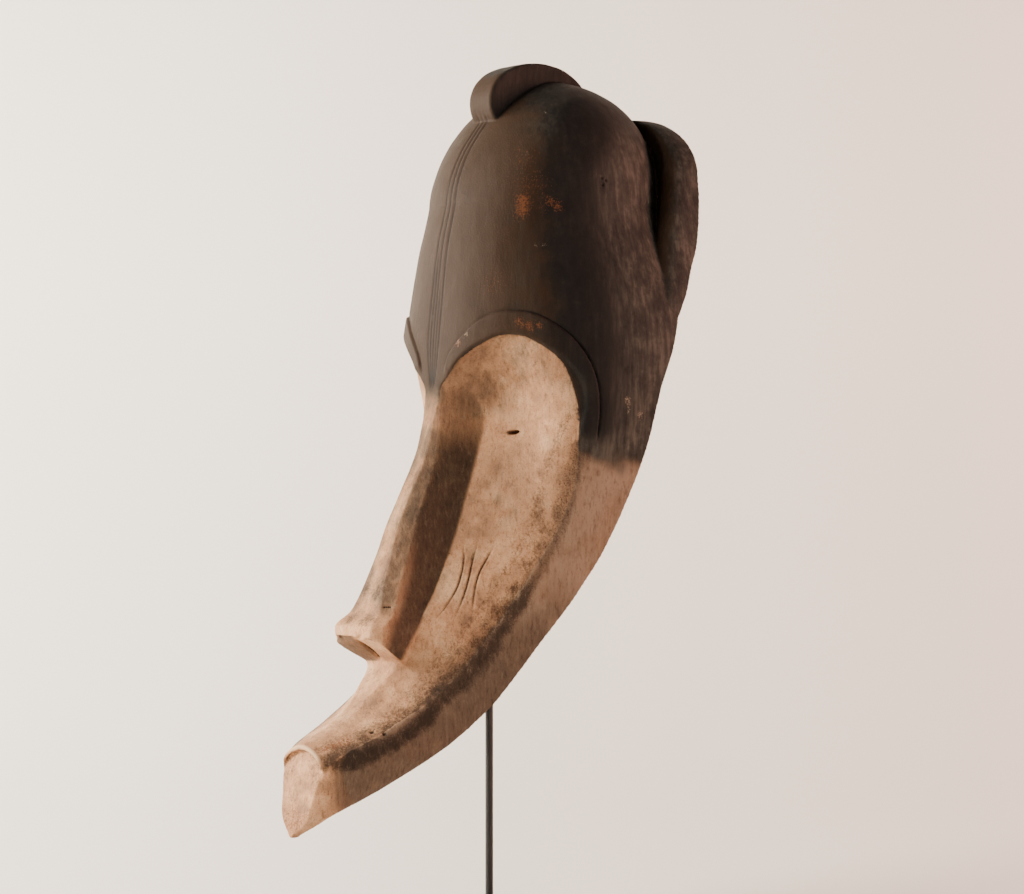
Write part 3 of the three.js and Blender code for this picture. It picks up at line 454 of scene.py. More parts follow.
LIP_RIM = [(-29, -210, 176), (-20, -211, 185), (-8, -212, 190), (1, -212, 191.5), (13, -211, 189),
           (24, -210.6, 182), (30, -208, 172)]
NOSE_TIP_EDGE = [(-30, -154, 283), (-12, -157, 284), (12, -157, 284), (30, -153, 284)]
FOREHEAD_LINES = [(-8.4, 770), (-4.4, 640), (-0.4, 770), (3.4, 610), (7.3, 770)]
BAND_HEIGHT, LINE_DEPTH, SCAR_DEPTH, FOREHEAD_DEPTH = 2.2, 1.4, 1.4, 0.9
SCAR_LIP_HEIGHT, RIM_HEIGHT, RIM_CUT_DEPTH, CHIP_DEPTH, PIT_DEPTH, ADZE_HEIGHT = 0.3, 1.0, 0.9, 2.0, 1.7, 1.1
BAND_REACH, BAND_SLOPE, SCAR_REACH, SCAR_HALF_WIDTH, LIP_REACH, TIP_REACH = 22, 6, 6, 1.5, 8, 16
FOREHEAD_FOOT_Z, FOREHEAD_SPREAD_Z, FOREHEAD_TOP_Z = 495, 552, 770
SCOOP_MARGIN, CHAMBER_MARGIN, CHAMBER_INSIDE_Z, RIM_MARGIN = 1.06, 1.08, (592, 771), 0.7
PITS = [(97.8, 52, 697, 1.3), (98.5, 56, 695, 1.2), (98.6, 52.5, 690.6, 1.4), (78.9, 139, 688, 1.5),
        (38, -164, 204, 1.8), (48, -158, 203, 1.8), (43, -40, 491, 1.5), (41, -41, 480, 1.4),
        (39.5, -42, 466, 1.6), (22, -138.5, 311.6, 0.9),
        (23.3, -137.2, 311.7, 0.9), (24.6, -136, 311.6, 0.9), (25.9, -134.8, 311.8, 0.9)]


def value_noise(points, cell, seed):
    """Noise from -1 to 1: random values at the corners of cells, blended along each axis by the
    smooth step 3t squared less 2t cubed."""
    at = points / np.asarray(cell, float)
    low = np.floor(at).astype(int)
    t = at - low
    t = t * t * (3 - 2 * t)
    low -= low.min(0)
    table = np.random.default_rng(seed).uniform(-1, 1, low.max(0) + 2)
    value = np.zeros(len(points))
    for corner in np.ndindex(2, 2, 2):
        weight = np.prod(np.where(corner, t, 1 - t), axis=1)
        value += weight * table[tuple((low + corner).T)]
    return value


def near_path(points, path, reach):
    """Distance from a smooth path and place along it for the points within reach of its bounds,
    with a distance of ten reaches for all others, and whether each is on its inner side: to the
    right of the nearest step in the frontal plane."""
    path = curve_through(path, 5 * len(path))
    close = ((points > path.min(0) - reach) & (points < path.max(0) + reach)).all(1)
    distance, along = np.full(len(points), 10.0 * reach), np.zeros(len(points))
    distance[close], along[close] = path_distance(points[close], path)
    i = np.clip((along * (len(path) - 1)).astype(int), 0, len(path) - 2)
    run, to = (path[i + 1] - path[i])[:, [0, 2]], (points - path[i])[:, [0, 2]]
    return distance, along, run[:, 0] * to[:, 1] - run[:, 1] * to[:, 0] < 0


def dome(distance, radius):
    """Soft bump of height 1: the exponential of minus the square of distance over radius."""
    return np.exp(-(distance / radius) ** 2)


def spotted(at, spots):
    """Greatest of the soft bumps round a list of spots (x, y, z, radius)."""
    found = np.zeros(len(at))
    for *centre, radius in spots:
        np.maximum(found, dome(np.linalg.norm(at - centre, axis=1), radius), out=found)
    return found


points = np.empty(3 * len(mask.data.vertices))
normals = np.empty_like(points)
mask.data.vertices.foreach_get("co", points)
mask.data.vertices.foreach_get("normal", normals)
points, normals = points.reshape(-1, 3) / MM, normals.reshape(-1, 3)
x, y, z = points.T
folded = np.stack([np.abs(x), y, z], -1)
block_front = block_y(np.abs(x), z)
reach = np.maximum(rim_line(z) - hollow_front(z), 1)
scooped = (np.abs(x) / np.maximum(hollow_width(z), 1)) ** hollow_power(z) \
    + (np.clip(rim_line(z) - y, 0, None) / reach) ** hollow_power(z)
in_scoop = (scooped < SCOOP_MARGIN) & (z > HOLLOW_BOTTOM_Z + 2) & (z < HOLLOW_TOP_Z)
from_middle = y - CHAMBER_MIDDLE_Y
half_depth = np.where(from_middle < 0, CHAMBER_MIDDLE_Y - chamber_front(z), chamber_back(z) - CHAMBER_MIDDLE_Y)
chambered = (x / np.maximum(chamber_width(z), 1)) ** 2 + (from_middle / np.maximum(half_depth, 1)) ** 2
in_chamber = (chambered < CHAMBER_MARGIN) & (z > CHAMBER_INSIDE_Z[0]) & (z < CHAMBER_INSIDE_Z[1])
inside = (in_scoop | in_chamber) & (y < rim_line(z) - RIM_MARGIN)
outside = ~inside

line_at, line_along, under_line = near_path(folded, BROW_LINE, BAND_REACH)
arris_at, _, under_arris = near_path(folded, BROW_ARRIS, BAND_REACH)
in_band = smoothstep(-0.4, 1.8, np.where(under_line, line_at, -line_at))
in_band = in_band * (1 - smoothstep(0, BAND_SLOPE, np.where(under_arris, arris_at, -arris_at)))
ends = smoothstep(0, 0.07, line_along) * (1 - smoothstep(0.93, 1, line_along))
band = np.where(line_at < BAND_REACH, in_band * ends, 0) * outside
brow_cut = dome(line_at, 1.2) * (0.35 + 0.65 * smoothstep(0.3, 0.65, line_along)) * ends * outside

forehead = (normals[:, 1] < -0.2) * outside * smoothstep(500, 515, z)
lines = np.zeros(len(points))
for offset, top in FOREHEAD_LINES:
    spread = 0.3 + 0.7 * smoothstep(FOREHEAD_FOOT_Z, FOREHEAD_SPREAD_Z, z)
    middle = offset * spread * (1 - 0.3 * smoothstep(FOREHEAD_SPREAD_Z, FOREHEAD_TOP_Z, z))
    lines += dome(x - middle, 0.9) * (1 - smoothstep(top - 25, top, z)) * forehead

scars, scar_lips = np.zeros(len(points)), np.zeros(len(points))
for path in CHEEK_SCARS:
    at, along, _ = near_path(folded, path, SCAR_REACH)
    taper = np.clip(np.sin(np.pi * along), 0, None) ** 0.6 * outside
    scars = np.maximum(scars, np.clip(1 - at / SCAR_HALF_WIDTH, 0, None) * taper)
    scar_lips = np.maximum(scar_lips, dome(at - 2.2, 0.8) * taper)

lip_at, lip_along, _ = near_path(points, LIP_RIM, LIP_REACH)
lip_ends = smoothstep(0, 0.1, lip_along) * (1 - smoothstep(0.9, 1, lip_along)) * outside
lip_rim = dome(lip_at, 2.2) * lip_ends
under_lip = near_path(points + (0, 0, 3.6), LIP_RIM, LIP_REACH)[0]
lip_cut_line = dome(under_lip, 1.3) * lip_ends

tip_at = near_path(points, NOSE_TIP_EDGE, TIP_REACH)[0]
chip = np.clip(value_noise(points, 5.5, 4) + 0.35, 0, 1) * dome(tip_at, 4.5) * outside
pits = spotted(points, PITS) * outside

uneven = 0.55 * value_noise(points, (26, 26, 42), 1) + 0.2 * value_noise(points, (8, 8, 15), 2)
adze = ADZE_HEIGHT * value_noise(points, (13, 13, 24), 3)
height = np.where(inside, adze, uneven) + BAND_HEIGHT * band - LINE_DEPTH * brow_cut
height -= FOREHEAD_DEPTH * lines + SCAR_DEPTH * scars - SCAR_LIP_HEIGHT * scar_lips
height += RIM_HEIGHT * lip_rim - RIM_CUT_DEPTH * lip_cut_line - CHIP_DEPTH * chip - PIT_DEPTH * pits
mask.data.vertices.foreach_set("co", ((points + height[:, None] * normals) * MM).ravel())

# What the surface wears, with painted shade: maps from 0 to 1 on the skin's points, made by
# formula. White clay on the face, painted shade mixed with brown stain on the nose's sides, dark
# patina above the brow and on the hood, browner where its front is handled, a darker zone on each
# side of the dome, a dark crust along the cheek ridges that near its top, on the hollow's side, is
# painted shade, grime with painted shade in the corners and under the nose, worn spots, and
# painted shade in the cuts.
CRUST_LINE = [(114, 20.7, 459), (109.6, 15, 441), (105, 10.6, 423), (103, 7.7, 405), (100.6, 2.7, 388),
              (97.5, -3, 370), (93.6, -11.4, 352), (89.3, -20.6, 334), (84, -31.4, 316.5), (78.7, -43, 299),
              (74.3, -55.7, 281.5), (69.3, -70, 264), (64, -86, 247), (59.2, -104, 230), (56.8, -123, 213.5),
              (54.3, -143, 199), (50.6, -162, 190.4), (45.5, -180, 184.4), (37.4, -198, 179)]
NOSE_SMUDGE = [(7, -74, 462), (12, -88, 425), (15, -101, 395), (15, -115, 362), (16, -128, 332),
               (20, -138, 314)]
LIP_STAIN = [(18, -206, 187), (25, -194, 194), (31, -183, 197)]
SMUDGES = [(45, -30, 433, 12), (56, -21, 440, 9), (39, -38, 419, 9), (54, -34, 402, 12), (40, -48, 392, 8),
           (65, -28, 392, 10), (47, -61, 352, 9), (71, -46, 330, 12), (56, -103, 239, 10), (84, -12, 392, 9)]
FLAKED = [(82, -11, 405, 9), (83.5, -12, 392, 9), (90, -10, 379, 9), (89, -15, 364, 10), (85, -25, 348, 10),
          (80, -36, 326, 10), (72, -53, 308, 11), (50, -105, 236, 16), (44, -138, 218, 14),
          (42, -152, 210, 13), (33, -173, 202, 12), (10, -140, 328, 14), (12, -150, 300, 12)]
WEAR = [(68, -17, 675, 8), (68, -19, 664, 8), (70, -17, 669, 8), (86, 8, 670, 6), (84, 2, 674, 5),
        (87.4, -26, 560, 6), (80, -32, 564, 5), (94, -19, 561, 4), (33.5, -61.6, 546, 4)]
RUBBED = [(71, -12, 690, 26), (62, -10, 715, 20), (84, -4, 672, 16), (60, -44, 600, 18)]
NICKS = [(82, -13, 634, 2.5), (86, -7, 635, 2.5), (55, 20, 757.5, 2.5), (45, -38, 657, 2), (31, -57, 585, 2),
         (128, 56, 497, 4), (129.6, 69.5, 482, 4), (128, 59, 486, 3.5), (33.5, -61.6, 546, 3),
         (41, -59, 553, 2.5)]
BROW_CORNER, BROW_CORNER_RADIUS = (30, -34, 508), 30
PAINT_FADE_BELOW, PAINT_FADE_ABOVE, NOSE_PAINT_FADE, NOSE_REAR_Y = -32, 20, 26, -50
NOSE_SIDE_TOP_Z, NOSE_SIDE_FADE_Z, SIDE_RUBBED_HIGH_Z, SIDE_RUBBED_LOW_Z = 520, 500, 480, 435
CRUST_OUTSIDE, CRUST_INSIDE, CRUST_CORE, CRUST_EDGE, FLAKED_AT = 0.55, 1.15, 0.2, 2.4, 26
WALL_GRIME_TOP_Z, WALL_GRIME_FULL_Z, WALL_SMEAR_Z, WALL_SMEAR_REACH = 352, 268, 450, 16
WALL_PAINT_Z, WALL_PAINT_DROP, NOSE_PAINT_Z, HOLLOW_CLAY_TOP_Z = 447, 12, 500, 562
DOME_DARK_Y, DOME_DARK_REACH, DOME_DARK_TOP_Z, CRUST_WIDTH, CRUST_REACH = 12, 40, 735, 9, 30
CHIN_CLAY_Y, CHIN_CLAY_TOP_Z, CHIN_SIDE_TOP_Z, WALL_TOP_Z = -198, 196, 200, 470
NOSE_END_TOP_Z, NOSE_END_Y, NOSE_END_HALF_WIDTH, SMUDGE_RADIUS = 287, -112, 42, 14

side = np.abs(x)
depth = y - block_front
ridge = ridge_line(z)
blotch = value_noise(points, (16, 16, 24), 5)
ragged = value_noise(points, (6, 6, 8), 8) + 0.6 * value_noise(points, 2.6, 9)
in_hollow = smoothstep(0.3, 1.6, depth) * (1 - smoothstep(-1.5, 1, side - ridge)) * (z < HOLLOW_CLAY_TOP_Z)
nose_top_z = NOSE_PAINT_Z + 6 * blotch
over_nose = smoothstep(-NOSE_PAINT_FADE, NOSE_PAINT_FADE, z - nose_top_z)
on_nose = (1 - smoothstep(12, 16, side - nose_edge(z))) * (1 - over_nose) * (y < NOSE_REAR_Y)
on_chin = (y < CHIN_CLAY_Y) * (depth > 0.5) * (z < CHIN_CLAY_TOP_Z)
face = np.maximum(np.maximum(in_hollow, on_nose), on_chin) * outside
wall_edge = WALL_PAINT_Z - WALL_PAINT_DROP * smoothstep(30, 100, y) + 8 * blotch + 4 * ragged
patina = smoothstep(PAINT_FADE_BELOW, PAINT_FADE_ABOVE, z - wall_edge) * (1 - face) * outside
patina = np.maximum(patina, band * (1 - smoothstep(0, 1.5, np.where(under_arris, arris_at, -1))))
# A darker zone on each side of the dome, with weaker ones on its top and low on the forehead, set by place.
dome_dark = dome(y - DOME_DARK_Y - 40 * smoothstep(690, 760, z), DOME_DARK_REACH)
dome_dark = dome_dark * smoothstep(440, 480, z) * smoothstep(40, 70, side)
dome_dark = np.maximum(dome_dark, 0.42 * smoothstep(485, 520, z) * smoothstep(60, 30, y))
dome_dark = np.maximum(dome_dark, 0.62 * smoothstep(-6, 25, z - DOME_DARK_TOP_Z) * (y > -15)) * patina

# The ridge band: a dark crust along each cheek ridge, reaching wider on the hollow's side, where near its top
# it is painted shade.
crust_at = near_path(folded, CRUST_LINE, CRUST_REACH)[0]
below_ridge = side - ridge > -1
crust_width = CRUST_WIDTH + 2 * smoothstep(330, 230, z) + 3 * ragged
spread = np.where(below_ridge, CRUST_OUTSIDE, CRUST_INSIDE) * (1 + 0.15 * smoothstep(330, 260, z))
crust_and_shade = 1 - smoothstep(CRUST_CORE * spread, CRUST_EDGE * spread, crust_at / crust_width)
crust_and_shade *= 0.72 + 0.28 * smoothstep(360, 300, z) + 0.15 * ragged
crust_and_shade = np.maximum(crust_and_shade, 0.9 * dome(tip_at, 2.6) * smoothstep(-0.1, 0.5, value_noise(points, 4, 6)))
crust_and_shade *= outside * smoothstep(160, 176, z)
# The nose's sides, which face away from the lamp: painted shade mixed with brown stain.
flank = smoothstep(0.35, 0.72, normals[:, 0] * np.sign(x) + 0.1 * ragged) * (side < nose_edge(z) + 15)
flank_depth = np.clip((y - nose_front(z)) / (flat_y(z) - nose_front(z)), 0, 1)
flank *= smoothstep(-4, 3, flat_y(z) - y) * smoothstep(NOSE_BOTTOM_Z - 1, NOSE_BOTTOM_Z + 4, z)
flank *= 1 - smoothstep(NOSE_SIDE_FADE_Z, NOSE_SIDE_TOP_Z, z)
flank *= 0.45 + 0.55 * smoothstep(SIDE_RUBBED_HIGH_Z, SIDE_RUBBED_LOW_Z, z)
flank *= smoothstep(0.0, 0.6, flank_depth + 0.2 * smoothstep(320, 400, z))
under_nose = smoothstep(-0.15, -0.4, normals[:, 2]) * (z > NOSE_BOTTOM_Z - 2) * (z < NOSE_END_TOP_Z)
under_nose = under_nose * (y < NOSE_END_Y) * (side < NOSE_END_HALF_WIDTH)
smudge_at = near_path(folded, NOSE_SMUDGE, 24)[0]
on_wall = smoothstep(-2, 6, side - ridge) * (z < WALL_TOP_Z)
on_wall = np.maximum(on_wall, (1 - face) * (z < CHIN_SIDE_TOP_Z))
brow_corner_at = np.linalg.norm(folded - BROW_CORNER, axis=1)
# Grime low on the walls, under the paint's edge, down the nose and in patches, with painted shade under the
# nose's end, in the hollow's upper inner corner and under the brow.
grime_and_shade = outside * np.maximum.reduce([
    0.85 * on_wall * smoothstep(WALL_GRIME_TOP_Z, WALL_GRIME_FULL_Z, z + 18 * blotch),  # low on the walls
    0.6 * on_wall * dome(z - WALL_SMEAR_Z, WALL_SMEAR_REACH),  # smeared under the paint's edge
    # painted shade on the far half of the nose's end, which faces away from the lamp
    0.8 * under_nose * smoothstep(4, -6, x),  # far half of the nose's end
    # painted shade in the hollow's upper inner corner, under the brow
    0.8 * dome(brow_corner_at, BROW_CORNER_RADIUS),  # upper inner corner of the hollow
    (0.85 + 0.2 * ragged) * dome(smudge_at, SMUDGE_RADIUS) * (on_nose > 0.2),  # down the nose
    # painted shadow of the brow across the top of the hollow
    0.45 * smoothstep(490, 515, z) * face,  # top of the hollow
    0.5 * smoothstep(370, 430, z) * (side < nose_edge(z)) * (y < nose_front(z) + 8),  # upper nose
    0.75 * (side < nose_edge(z) + 2) * smoothstep(458, 500, z) * (y < NOSE_REAR_Y),  # nose root
    0.75 * dome(arris_at, 4) * under_arris,  # along the brow's arris
    0.65 * spotted(folded, SMUDGES) * (0.7 + 0.3 * ragged)])
flaked = np.maximum(spotted(folded, FLAKED), 0.7 * dome(crust_at - FLAKED_AT, 7) * (side < ridge)) * face
wear = outside * np.maximum.reduce([
    spotted(points, WEAR),
    0.4 * spotted(points, RUBBED) * patina,
    0.9 * dome(near_path(points, LIP_STAIN, 16)[0], 6),
    0.75 * on_chin * smoothstep(155, 128, z + 8 * blotch),  # lower end of the chin facet
    0.8 * dome(tip_at, 2.2) * smoothstep(0.1, 0.6, value_noise(points, 6, 7))])
# Painted shade in the cuts: along the brow's cut line, the forehead lines, the cheek scars, the lip's cut and
# the pits, then in the eye slits and in the slit of the nose's end.
cut_shade = np.clip(1.1 * brow_cut + 0.8 * lines + scars + lip_cut_line + 1.3 * pits, 0, 1)
eye_at = np.linalg.norm((folded - (EYE_X, 0, EYE_Z)) * (0.22, 0, 0.6), axis=1)
cut_shade = np.maximum(cut_shade, dome(eye_at, 1.35) * (y < 20) * (y > -40))
nose_end_y = flat_y(NOSE_BOTTOM_Z) - NOSE_END_RUN * (z - NOSE_BOTTOM_Z) / (NOSE_TIP_Z - NOSE_BOTTOM_Z)
in_slit = slit(side, z) * smoothstep(0, 3, y - nose_end_y - 3)
cut_shade = np.maximum(cut_shade, np.clip(1.8 * in_slit, 0, 1) * (y < -100) * (z > 263) * (z < 283))
worn_maps = {"clay": face, "patina": patina, "dome_dark": dome_dark, "crust_and_shade": crust_and_shade, "wear": wear, "grime_and_shade": grime_and_shade,
             "nicks": spotted(points, NICKS) * outside, "cut_shade": cut_shade, "inside": inside.astype(float),
             "lip": lip_rim, "nose_side": flank * outside, "flaked": flaked,
             "handled": smoothstep(0.3, 0.85, -normals[:, 1]) * patina}
for name, values in worn_maps.items():
    layer = mask.data.attributes.new(name, "FLOAT", "POINT")
    layer.data.foreach_set("value", np.clip(values, 0, 1).astype(np.float32))

lean = mask.modifiers.new("lean mesh", "DECIMATE")
lean.ratio, lean.use_collapse_triangulate = TRIANGLES / (2 * len(mask.data.polygons)), True
settle(mask)

# Carved wood: one dense light wood under all of it. The eye gets fine upright grain, pale clay
# rubbed into the face and flaked off in specks, smoke-black patina on the head with the wood's
# orange showing where it is rubbed through, brown crust along the ridges, partly painted shade,
# painted shade on the nose's sides, in the corners and in the cuts, and raw wood inside.
CLAY = ("#83634c", "#b98964", "#d9ae85")
BARE_WOOD = ("#5a4432", "#765a43", "#8c6d52")
DUSTED_WOOD = "#98806a"
PATINA = ("#221f1b", "#38342e", "#554e45")
# The grime and ridge-crust colours serve partly as painted shade, and the shaded colour is painted shade on
# the nose's sides.
DOME_DARK, CRUST_AND_SHADE, GRIME_AND_SHADE, FLAKE, SHADED = "#0d0a08", "#241a13", "#4a3c30", "#3b281c", "#2a231d"
HANDLED, PORE, FLECK = "#33200f", "#1d140e", "#c9ae90"
# The near-black colour for the cuts is painted shade.
FRESH_WOOD, NICK, CUT_SHADE, LIP = "#714226", "#8f7c68", "#120c09", "#d3b08c"
INNER_WOOD = ("#58473a", "#6f5b4a", "#836e59")


def linear(code):
    """Linear colour of an sRGB hex code: the low part divided by 12.92, the rest as the power 2.4
    of the value offset by 0.055."""
    value = np.array([int(code[i:i + 2], 16) for i in (1, 3, 5)]) / 255
    return (*np.where(value <= 0.04045, value / 12.92, ((value + 0.055) / 1.055) ** 2.4), 1)


def node(tree, kind, inputs, out=0, **settings):
    """Adds a node with its settings and fills its inputs, given by name or number, with values or
    with other nodes' outputs. Gives back one of its outputs."""
    made = tree.nodes.new(kind)
    for name, value in settings.items():
        setattr(made, name, value)
    for key, value in inputs.items():
        if isinstance(value, bpy.types.NodeSocket):
            tree.links.new(value, made.inputs[key])
        else:
            made.inputs[key].default_value = value
    return made.outputs[out]


def noise(tree, at, scale, detail, roughness=0.5):
    """Fractal noise at a scale per metre."""
    settings = {"Vector": at, "Scale": scale, "Detail": detail, "Roughness": roughness}
    return node(tree, "ShaderNodeTexNoise", settings)


def ranged(tree, value, low, high, start, end):
    """Value brought evenly from low..high to start..end."""
    return node(tree, "ShaderNodeMapRange", {0: value, 1: low, 2: high, 3: start, 4: end})


def toned(tree, value, low, high, colours):
    """Colour ramp whose even steps between two values are the given sRGB colours."""
    ramp = tree.nodes.new("ShaderNodeValToRGB")
    for i, code in enumerate(colours):
        place = low + (high - low) * i / (len(colours) - 1)
        stop = ramp.color_ramp.elements[i] if i < 2 else ramp.color_ramp.elements.new(place)
        stop.position, stop.color = place, linear(code)
    tree.links.new(value, ramp.inputs["Fac"])
    return ramp.outputs["Color"]


def over(tree, below, above, share):
    """One colour laid over another by a share."""
    return node(tree, "ShaderNodeMix", {0: share, 6: below, 7: above}, 2, data_type="RGBA")


def broken(tree, layer, speckle, gain, low, high, most=1.0):
    """Share of a worn layer: its map plus speckle times a gain, brought from low..high to 0..most."""
    drawn = node(tree, "ShaderNodeAttribute", {}, 2, attribute_name=layer)
    ragged = node(tree, "ShaderNodeMath", {0: speckle, 1: gain, 2: drawn}, operation="MULTIPLY_ADD")
    return node(tree, "ShaderNodeMapRange", {0: ragged, 1: low, 2: high, 3: 0.0, 4: most},
                interpolation_type="SMOOTHSTEP")


def weathered(tree, tone, layers):
    """Lays worn layers over a tone in turn: rows of colour, map, speckle, gain, low, high and most."""
    for colour, *worn in layers:
        tone = over(tree, tone, colour, broken(tree, *worn))
    return tone


wood = bpy.data.materials.new("clayed_and_smoked_wood")
wood.use_nodes = True
tree = wood.node_tree
surface = tree.nodes["Principled BSDF"]
at = node(tree, "ShaderNodeTexCoord", {}, 3)
upright = node(tree, "ShaderNodeMapping", {"Vector": at, "Scale": (1, 1, 0.12)})
pores = node(tree, "ShaderNodeMapping", {"Vector": at, "Scale": (1, 1, 0.35)})
fine_grain = noise(tree, upright, 900, 2)
streaks = noise(tree, upright, 210, 4, 0.65)
mottle = noise(tree, at, 34, 8, 0.68)
cloud = noise(tree, at, 13, 6, 0.6)
specks = noise(tree, at, 620, 3, 0.7)
coarse = noise(tree, at, 380, 4, 0.75)
flecks = noise(tree, pores, 330, 5, 0.75)
worked = over(tree, streaks, mottle, 0.6)
crumbs = over(tree, mottle, specks, 0.45)

bare = toned(tree, streaks, 0.34, 0.66, BARE_WOOD)
tone = over(tree, bare, linear(DUSTED_WOOD), ranged(tree, mottle, 0.36, 0.6, 0.35, 0.95))
clay = toned(tree, mottle, 0.32, 0.66, CLAY)
clay = over(tree, clay, linear(CLAY[0]), ranged(tree, cloud, 0.42, 0.62, 0.0, 0.5))
clay = over(tree, clay, linear(GRIME_AND_SHADE), ranged(tree, specks, 0.54, 0.7, 0.0, 0.5))
# Over the wood: clay, grime with painted shade, flaked specks, painted shade on the nose's sides, and the
# ridge crust with painted shade.
tone = weathered(tree, tone, [
    (clay, "clay", specks, 0.9, 0.75, 1.05),
    (linear(GRIME_AND_SHADE), "grime_and_shade", worked, 2.2, 1.15, 2.1, 0.85),
    (linear(FLAKE), "flaked", coarse, 2.4, 1.6, 2.35, 0.7),
    (linear(SHADED), "nose_side", mottle, 0.6, 0.35, 1.25, 0.86),
    (linear(CRUST_AND_SHADE), "crust_and_shade", crumbs, 1.9, 1.12, 1.95, 0.88)])
tone = over(tree, tone, linear(PORE), ranged(tree, flecks, 0.47, 0.34, 0.0, 0.42))
tone = over(tree, tone, linear(FLECK), ranged(tree, flecks, 0.54, 0.74, 0.0, 0.13))
smoked = weathered(tree, toned(tree, worked, 0.4, 0.61, PATINA), [
    (linear(DOME_DARK), "dome_dark", mottle, 1.0, 0.6, 1.35, 0.88),
    (linear(HANDLED), "handled", mottle, 1.6, 0.9, 1.8, 0.85)])
# Then the patina, worn spots, nicks, raw wood inside, the lip's rim, and painted shade in the cuts.
tone = weathered(tree, tone, [
    (smoked, "patina", mottle, 0.9, 0.6, 1.25),
    (linear(FRESH_WOOD), "wear", specks, 2.4, 1.6, 2.3, 0.75),
    (linear(NICK), "nicks", specks, 2.0, 1.5, 1.9, 0.7),
    (toned(tree, streaks, 0.34, 0.66, INNER_WOOD), "inside", specks, 0.1, 0.4, 0.7),
    (linear(LIP), "lip", specks, 0.9, 0.8, 1.4, 0.7),
    (linear(CUT_SHADE), "cut_shade", specks, 0.4, 0.35, 1.0, 0.88)])
gloss = broken(tree, "patina", mottle, 0.6, 0.8, 1.3)
tree.links.new(tone, surface.inputs["Base Color"])
tree.links.new(ranged(tree, gloss, 0.0, 1.0, 0.84, 0.68), surface.inputs["Roughness"])
surface.inputs["Specular IOR Level"].default_value = 0.2
grain = node(tree, "ShaderNodeMath", {0: fine_grain, 1: 0.4, 2: worked}, operation="MULTIPLY_ADD")
rough = node(tree, "ShaderNodeMath", {0: specks, 1: 0.8, 2: grain}, operation="MULTIPLY_ADD")
tree.links.new(node(tree, "ShaderNodeBump", {"Height": rough, "Distance": 0.8 * MM, "Strength": 0.55}),
               surface.inputs["Normal"])
mask.data.materials.clear()
mask.data.materials.append(wood)
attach(mask, "root")
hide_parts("mask")

# The stand: an upright rod of steel with a welded cross rest for the head and a lower spreader, on
# a square plate. Both keep the shape of the solids. The eye gets satin black paint, a little
# uneven, rubbed greyer in small patches.
steel = bpy.data.materials.new("black_painted_steel")
steel.use_nodes = True
tree = steel.node_tree
surface = tree.nodes["Principled BSDF"]
at = node(tree, "ShaderNodeTexCoord", {}, 3)
cloud = noise(tree, at, 60, 4)
orange_peel = noise(tree, at, 900, 1)
tree.links.new(toned(tree, cloud, 0.35, 0.7, ("#0b0a09", "#141211", "#221f1d")), surface.inputs["Base Color"])
tree.links.new(ranged(tree, cloud, 0.35, 0.7, 0.34, 0.5), surface.inputs["Roughness"])
tree.links.new(node(tree, "ShaderNodeBump", {"Height": orange_peel, "Distance": 0.1 * MM, "Strength": 0.4}),
               surface.inputs["Normal"])
for name in ("stand_rod", "stand_base"):
    for held in bpy.data.objects[name].material_slots:
        held.material = steel

# The studio: a pale paper sweep behind and under the stand, a large soft lamp on the side that the
# face looks to, a weak one on the other side, and an even glow all round. The paper is seen from
# its front only, so that it doesn't hide the mask from behind.
AZIMUTH = np.radians(50)
AHEAD = np.array([-np.sin(AZIMUTH), np.cos(AZIMUTH), 0])
RIGHT = np.array([np.cos(AZIMUTH), np.sin(AZIMUTH), 0])
AIM = np.array([13.5, 16.1, 452.9])
DISTANCE, FOCUS_PIXELS, PICTURE_WIDTH = 2450, 2654.4, 1024
FLOOR_REACH, BEND_AHEAD, BEND_RADIUS, WALL_HEIGHT = 3500.0, 900, 700, 3500.0


def placed(name, data, at, to):
    """Object at one point, turned so that it looks at another."""
    body = bpy.data.objects.new(name, data)
    bpy.context.scene.collection.objects.link(body)
    run = Vector((to - at) * MM)
    body.location = at * MM
    body.rotation_euler = run.to_track_quat("-Z", "Y").to_euler()
    return body


lens = bpy.data.cameras.new("camera")
lens.sensor_width = 36
lens.lens = FOCUS_PIXELS * lens.sensor_width / PICTURE_WIDTH
lens.clip_end = 50
bpy.context.scene.camera = placed("camera", lens, AIM - AHEAD * DISTANCE, AIM)

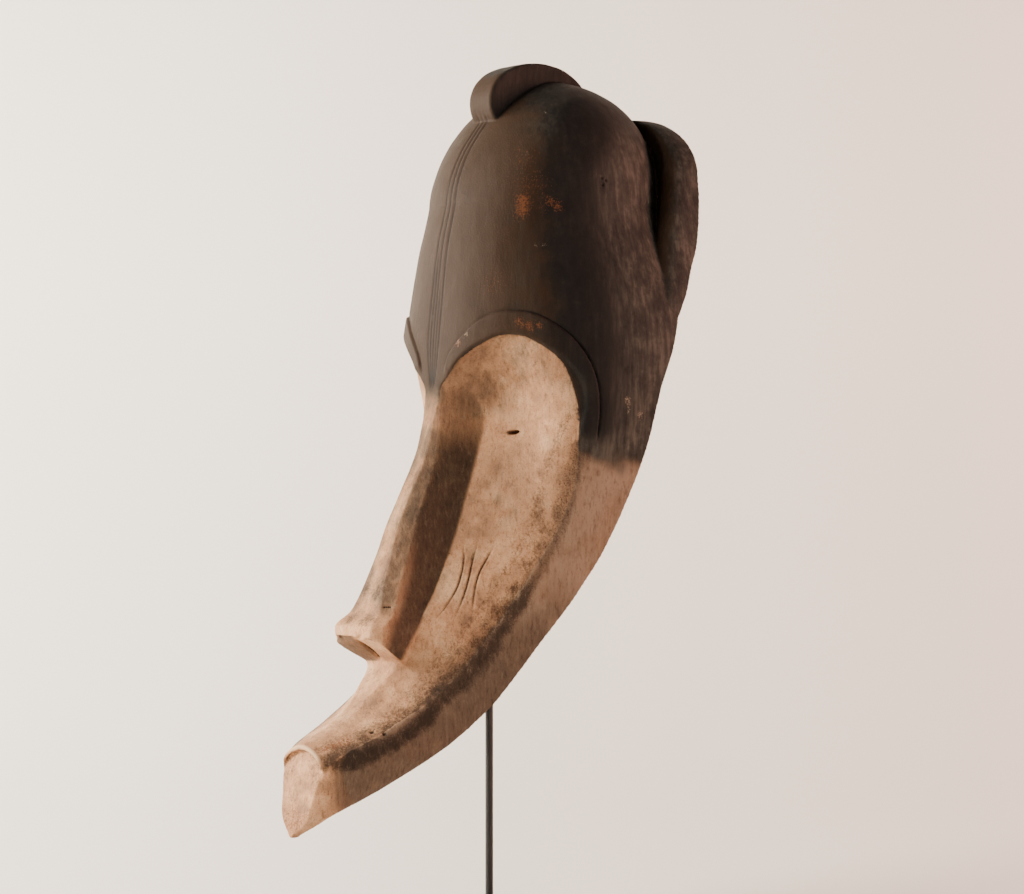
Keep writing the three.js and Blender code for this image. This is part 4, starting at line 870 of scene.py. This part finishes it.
bend = np.linspace(0, np.pi / 2, 30)[:, None]
run = np.concatenate([[[-FLOOR_REACH]], BEND_AHEAD + BEND_RADIUS * np.sin(bend), [[BEND_AHEAD + BEND_RADIUS]]])
rise = np.concatenate([[[0.0]], BEND_RADIUS * (1 - np.cos(bend)), [[WALL_HEIGHT]]])
side = np.array([[-FLOOR_REACH, FLOOR_REACH]])
sweep_points = run[..., None] * AHEAD + side[..., None] * RIGHT + rise[..., None] * np.array([0, 0, 1])
rows = len(run)
sweep_mesh = bpy.data.meshes.new("paper_sweep")
sweep_mesh.from_pydata((sweep_points.reshape(-1, 3) * MM).tolist(), [],
                       [(2 * i, 2 * i + 1, 2 * i + 3, 2 * i + 2) for i in range(rows - 1)])
sweep = bpy.data.objects.new("paper_sweep", sweep_mesh)
bpy.context.scene.collection.objects.link(sweep)
for face_of in sweep_mesh.polygons:
    face_of.use_smooth = True
paper = bpy.data.materials.new("matt_paper")
paper.use_nodes = True
paper.node_tree.nodes["Principled BSDF"].inputs["Base Color"].default_value = linear("#efebe3")
paper.node_tree.nodes["Principled BSDF"].inputs["Roughness"].default_value = 0.9
back_of = node(paper.node_tree, "ShaderNodeNewGeometry", {}, "Backfacing")
unseen = node(paper.node_tree, "ShaderNodeBsdfTransparent", {})
shown = node(paper.node_tree, "ShaderNodeMixShader",
             {0: back_of, 1: paper.node_tree.nodes["Principled BSDF"].outputs[0], 2: unseen})
paper.node_tree.links.new(shown, paper.node_tree.nodes["Material Output"].inputs["Surface"])
sweep_mesh.materials.append(paper)


def lamp(name, at, to, size, power, colour):
    """Square soft lamp at a point, shining at another."""
    data = bpy.data.lights.new(name, "AREA")
    data.shape, data.size, data.energy, data.color = "SQUARE", size * MM, power, linear(colour)[:3]
    return placed(name, data, at, to)


def around(azimuth, elevation, distance):
    """Point at a distance from the aim, seen from which the view has that azimuth and elevation."""
    azimuth, elevation = np.radians([azimuth, elevation])
    level = np.cos(elevation)
    return AIM + distance * np.array([np.sin(azimuth) * level, -np.cos(azimuth) * level, np.sin(elevation)])


lamp("key", around(-12, 24, 2200), AIM, 900, 73, "#fff2e4")
lamp("fill", around(130, 14, 2300), AIM, 1500, 17, "#f4f2f8")
for name, turned, ahead, power, colour in (("wall_left", -1, 200, 158, "#fffcf2"),
                                           ("wall_right", 1, 100, 58, "#ffa684")):
    lamp(name, AIM + AHEAD * ahead + turned * RIGHT * 2300 + np.array([0, 0, 500]),
         AIM + AHEAD * (BEND_AHEAD + BEND_RADIUS) + turned * RIGHT * 500, 1200, power, colour)
world = bpy.data.worlds.new("studio")
bpy.context.scene.world = world
world.use_nodes = True
world.node_tree.nodes["Background"].inputs["Color"].default_value = linear("#f8f4f0")
world.node_tree.nodes["Background"].inputs["Strength"].default_value = 0.18
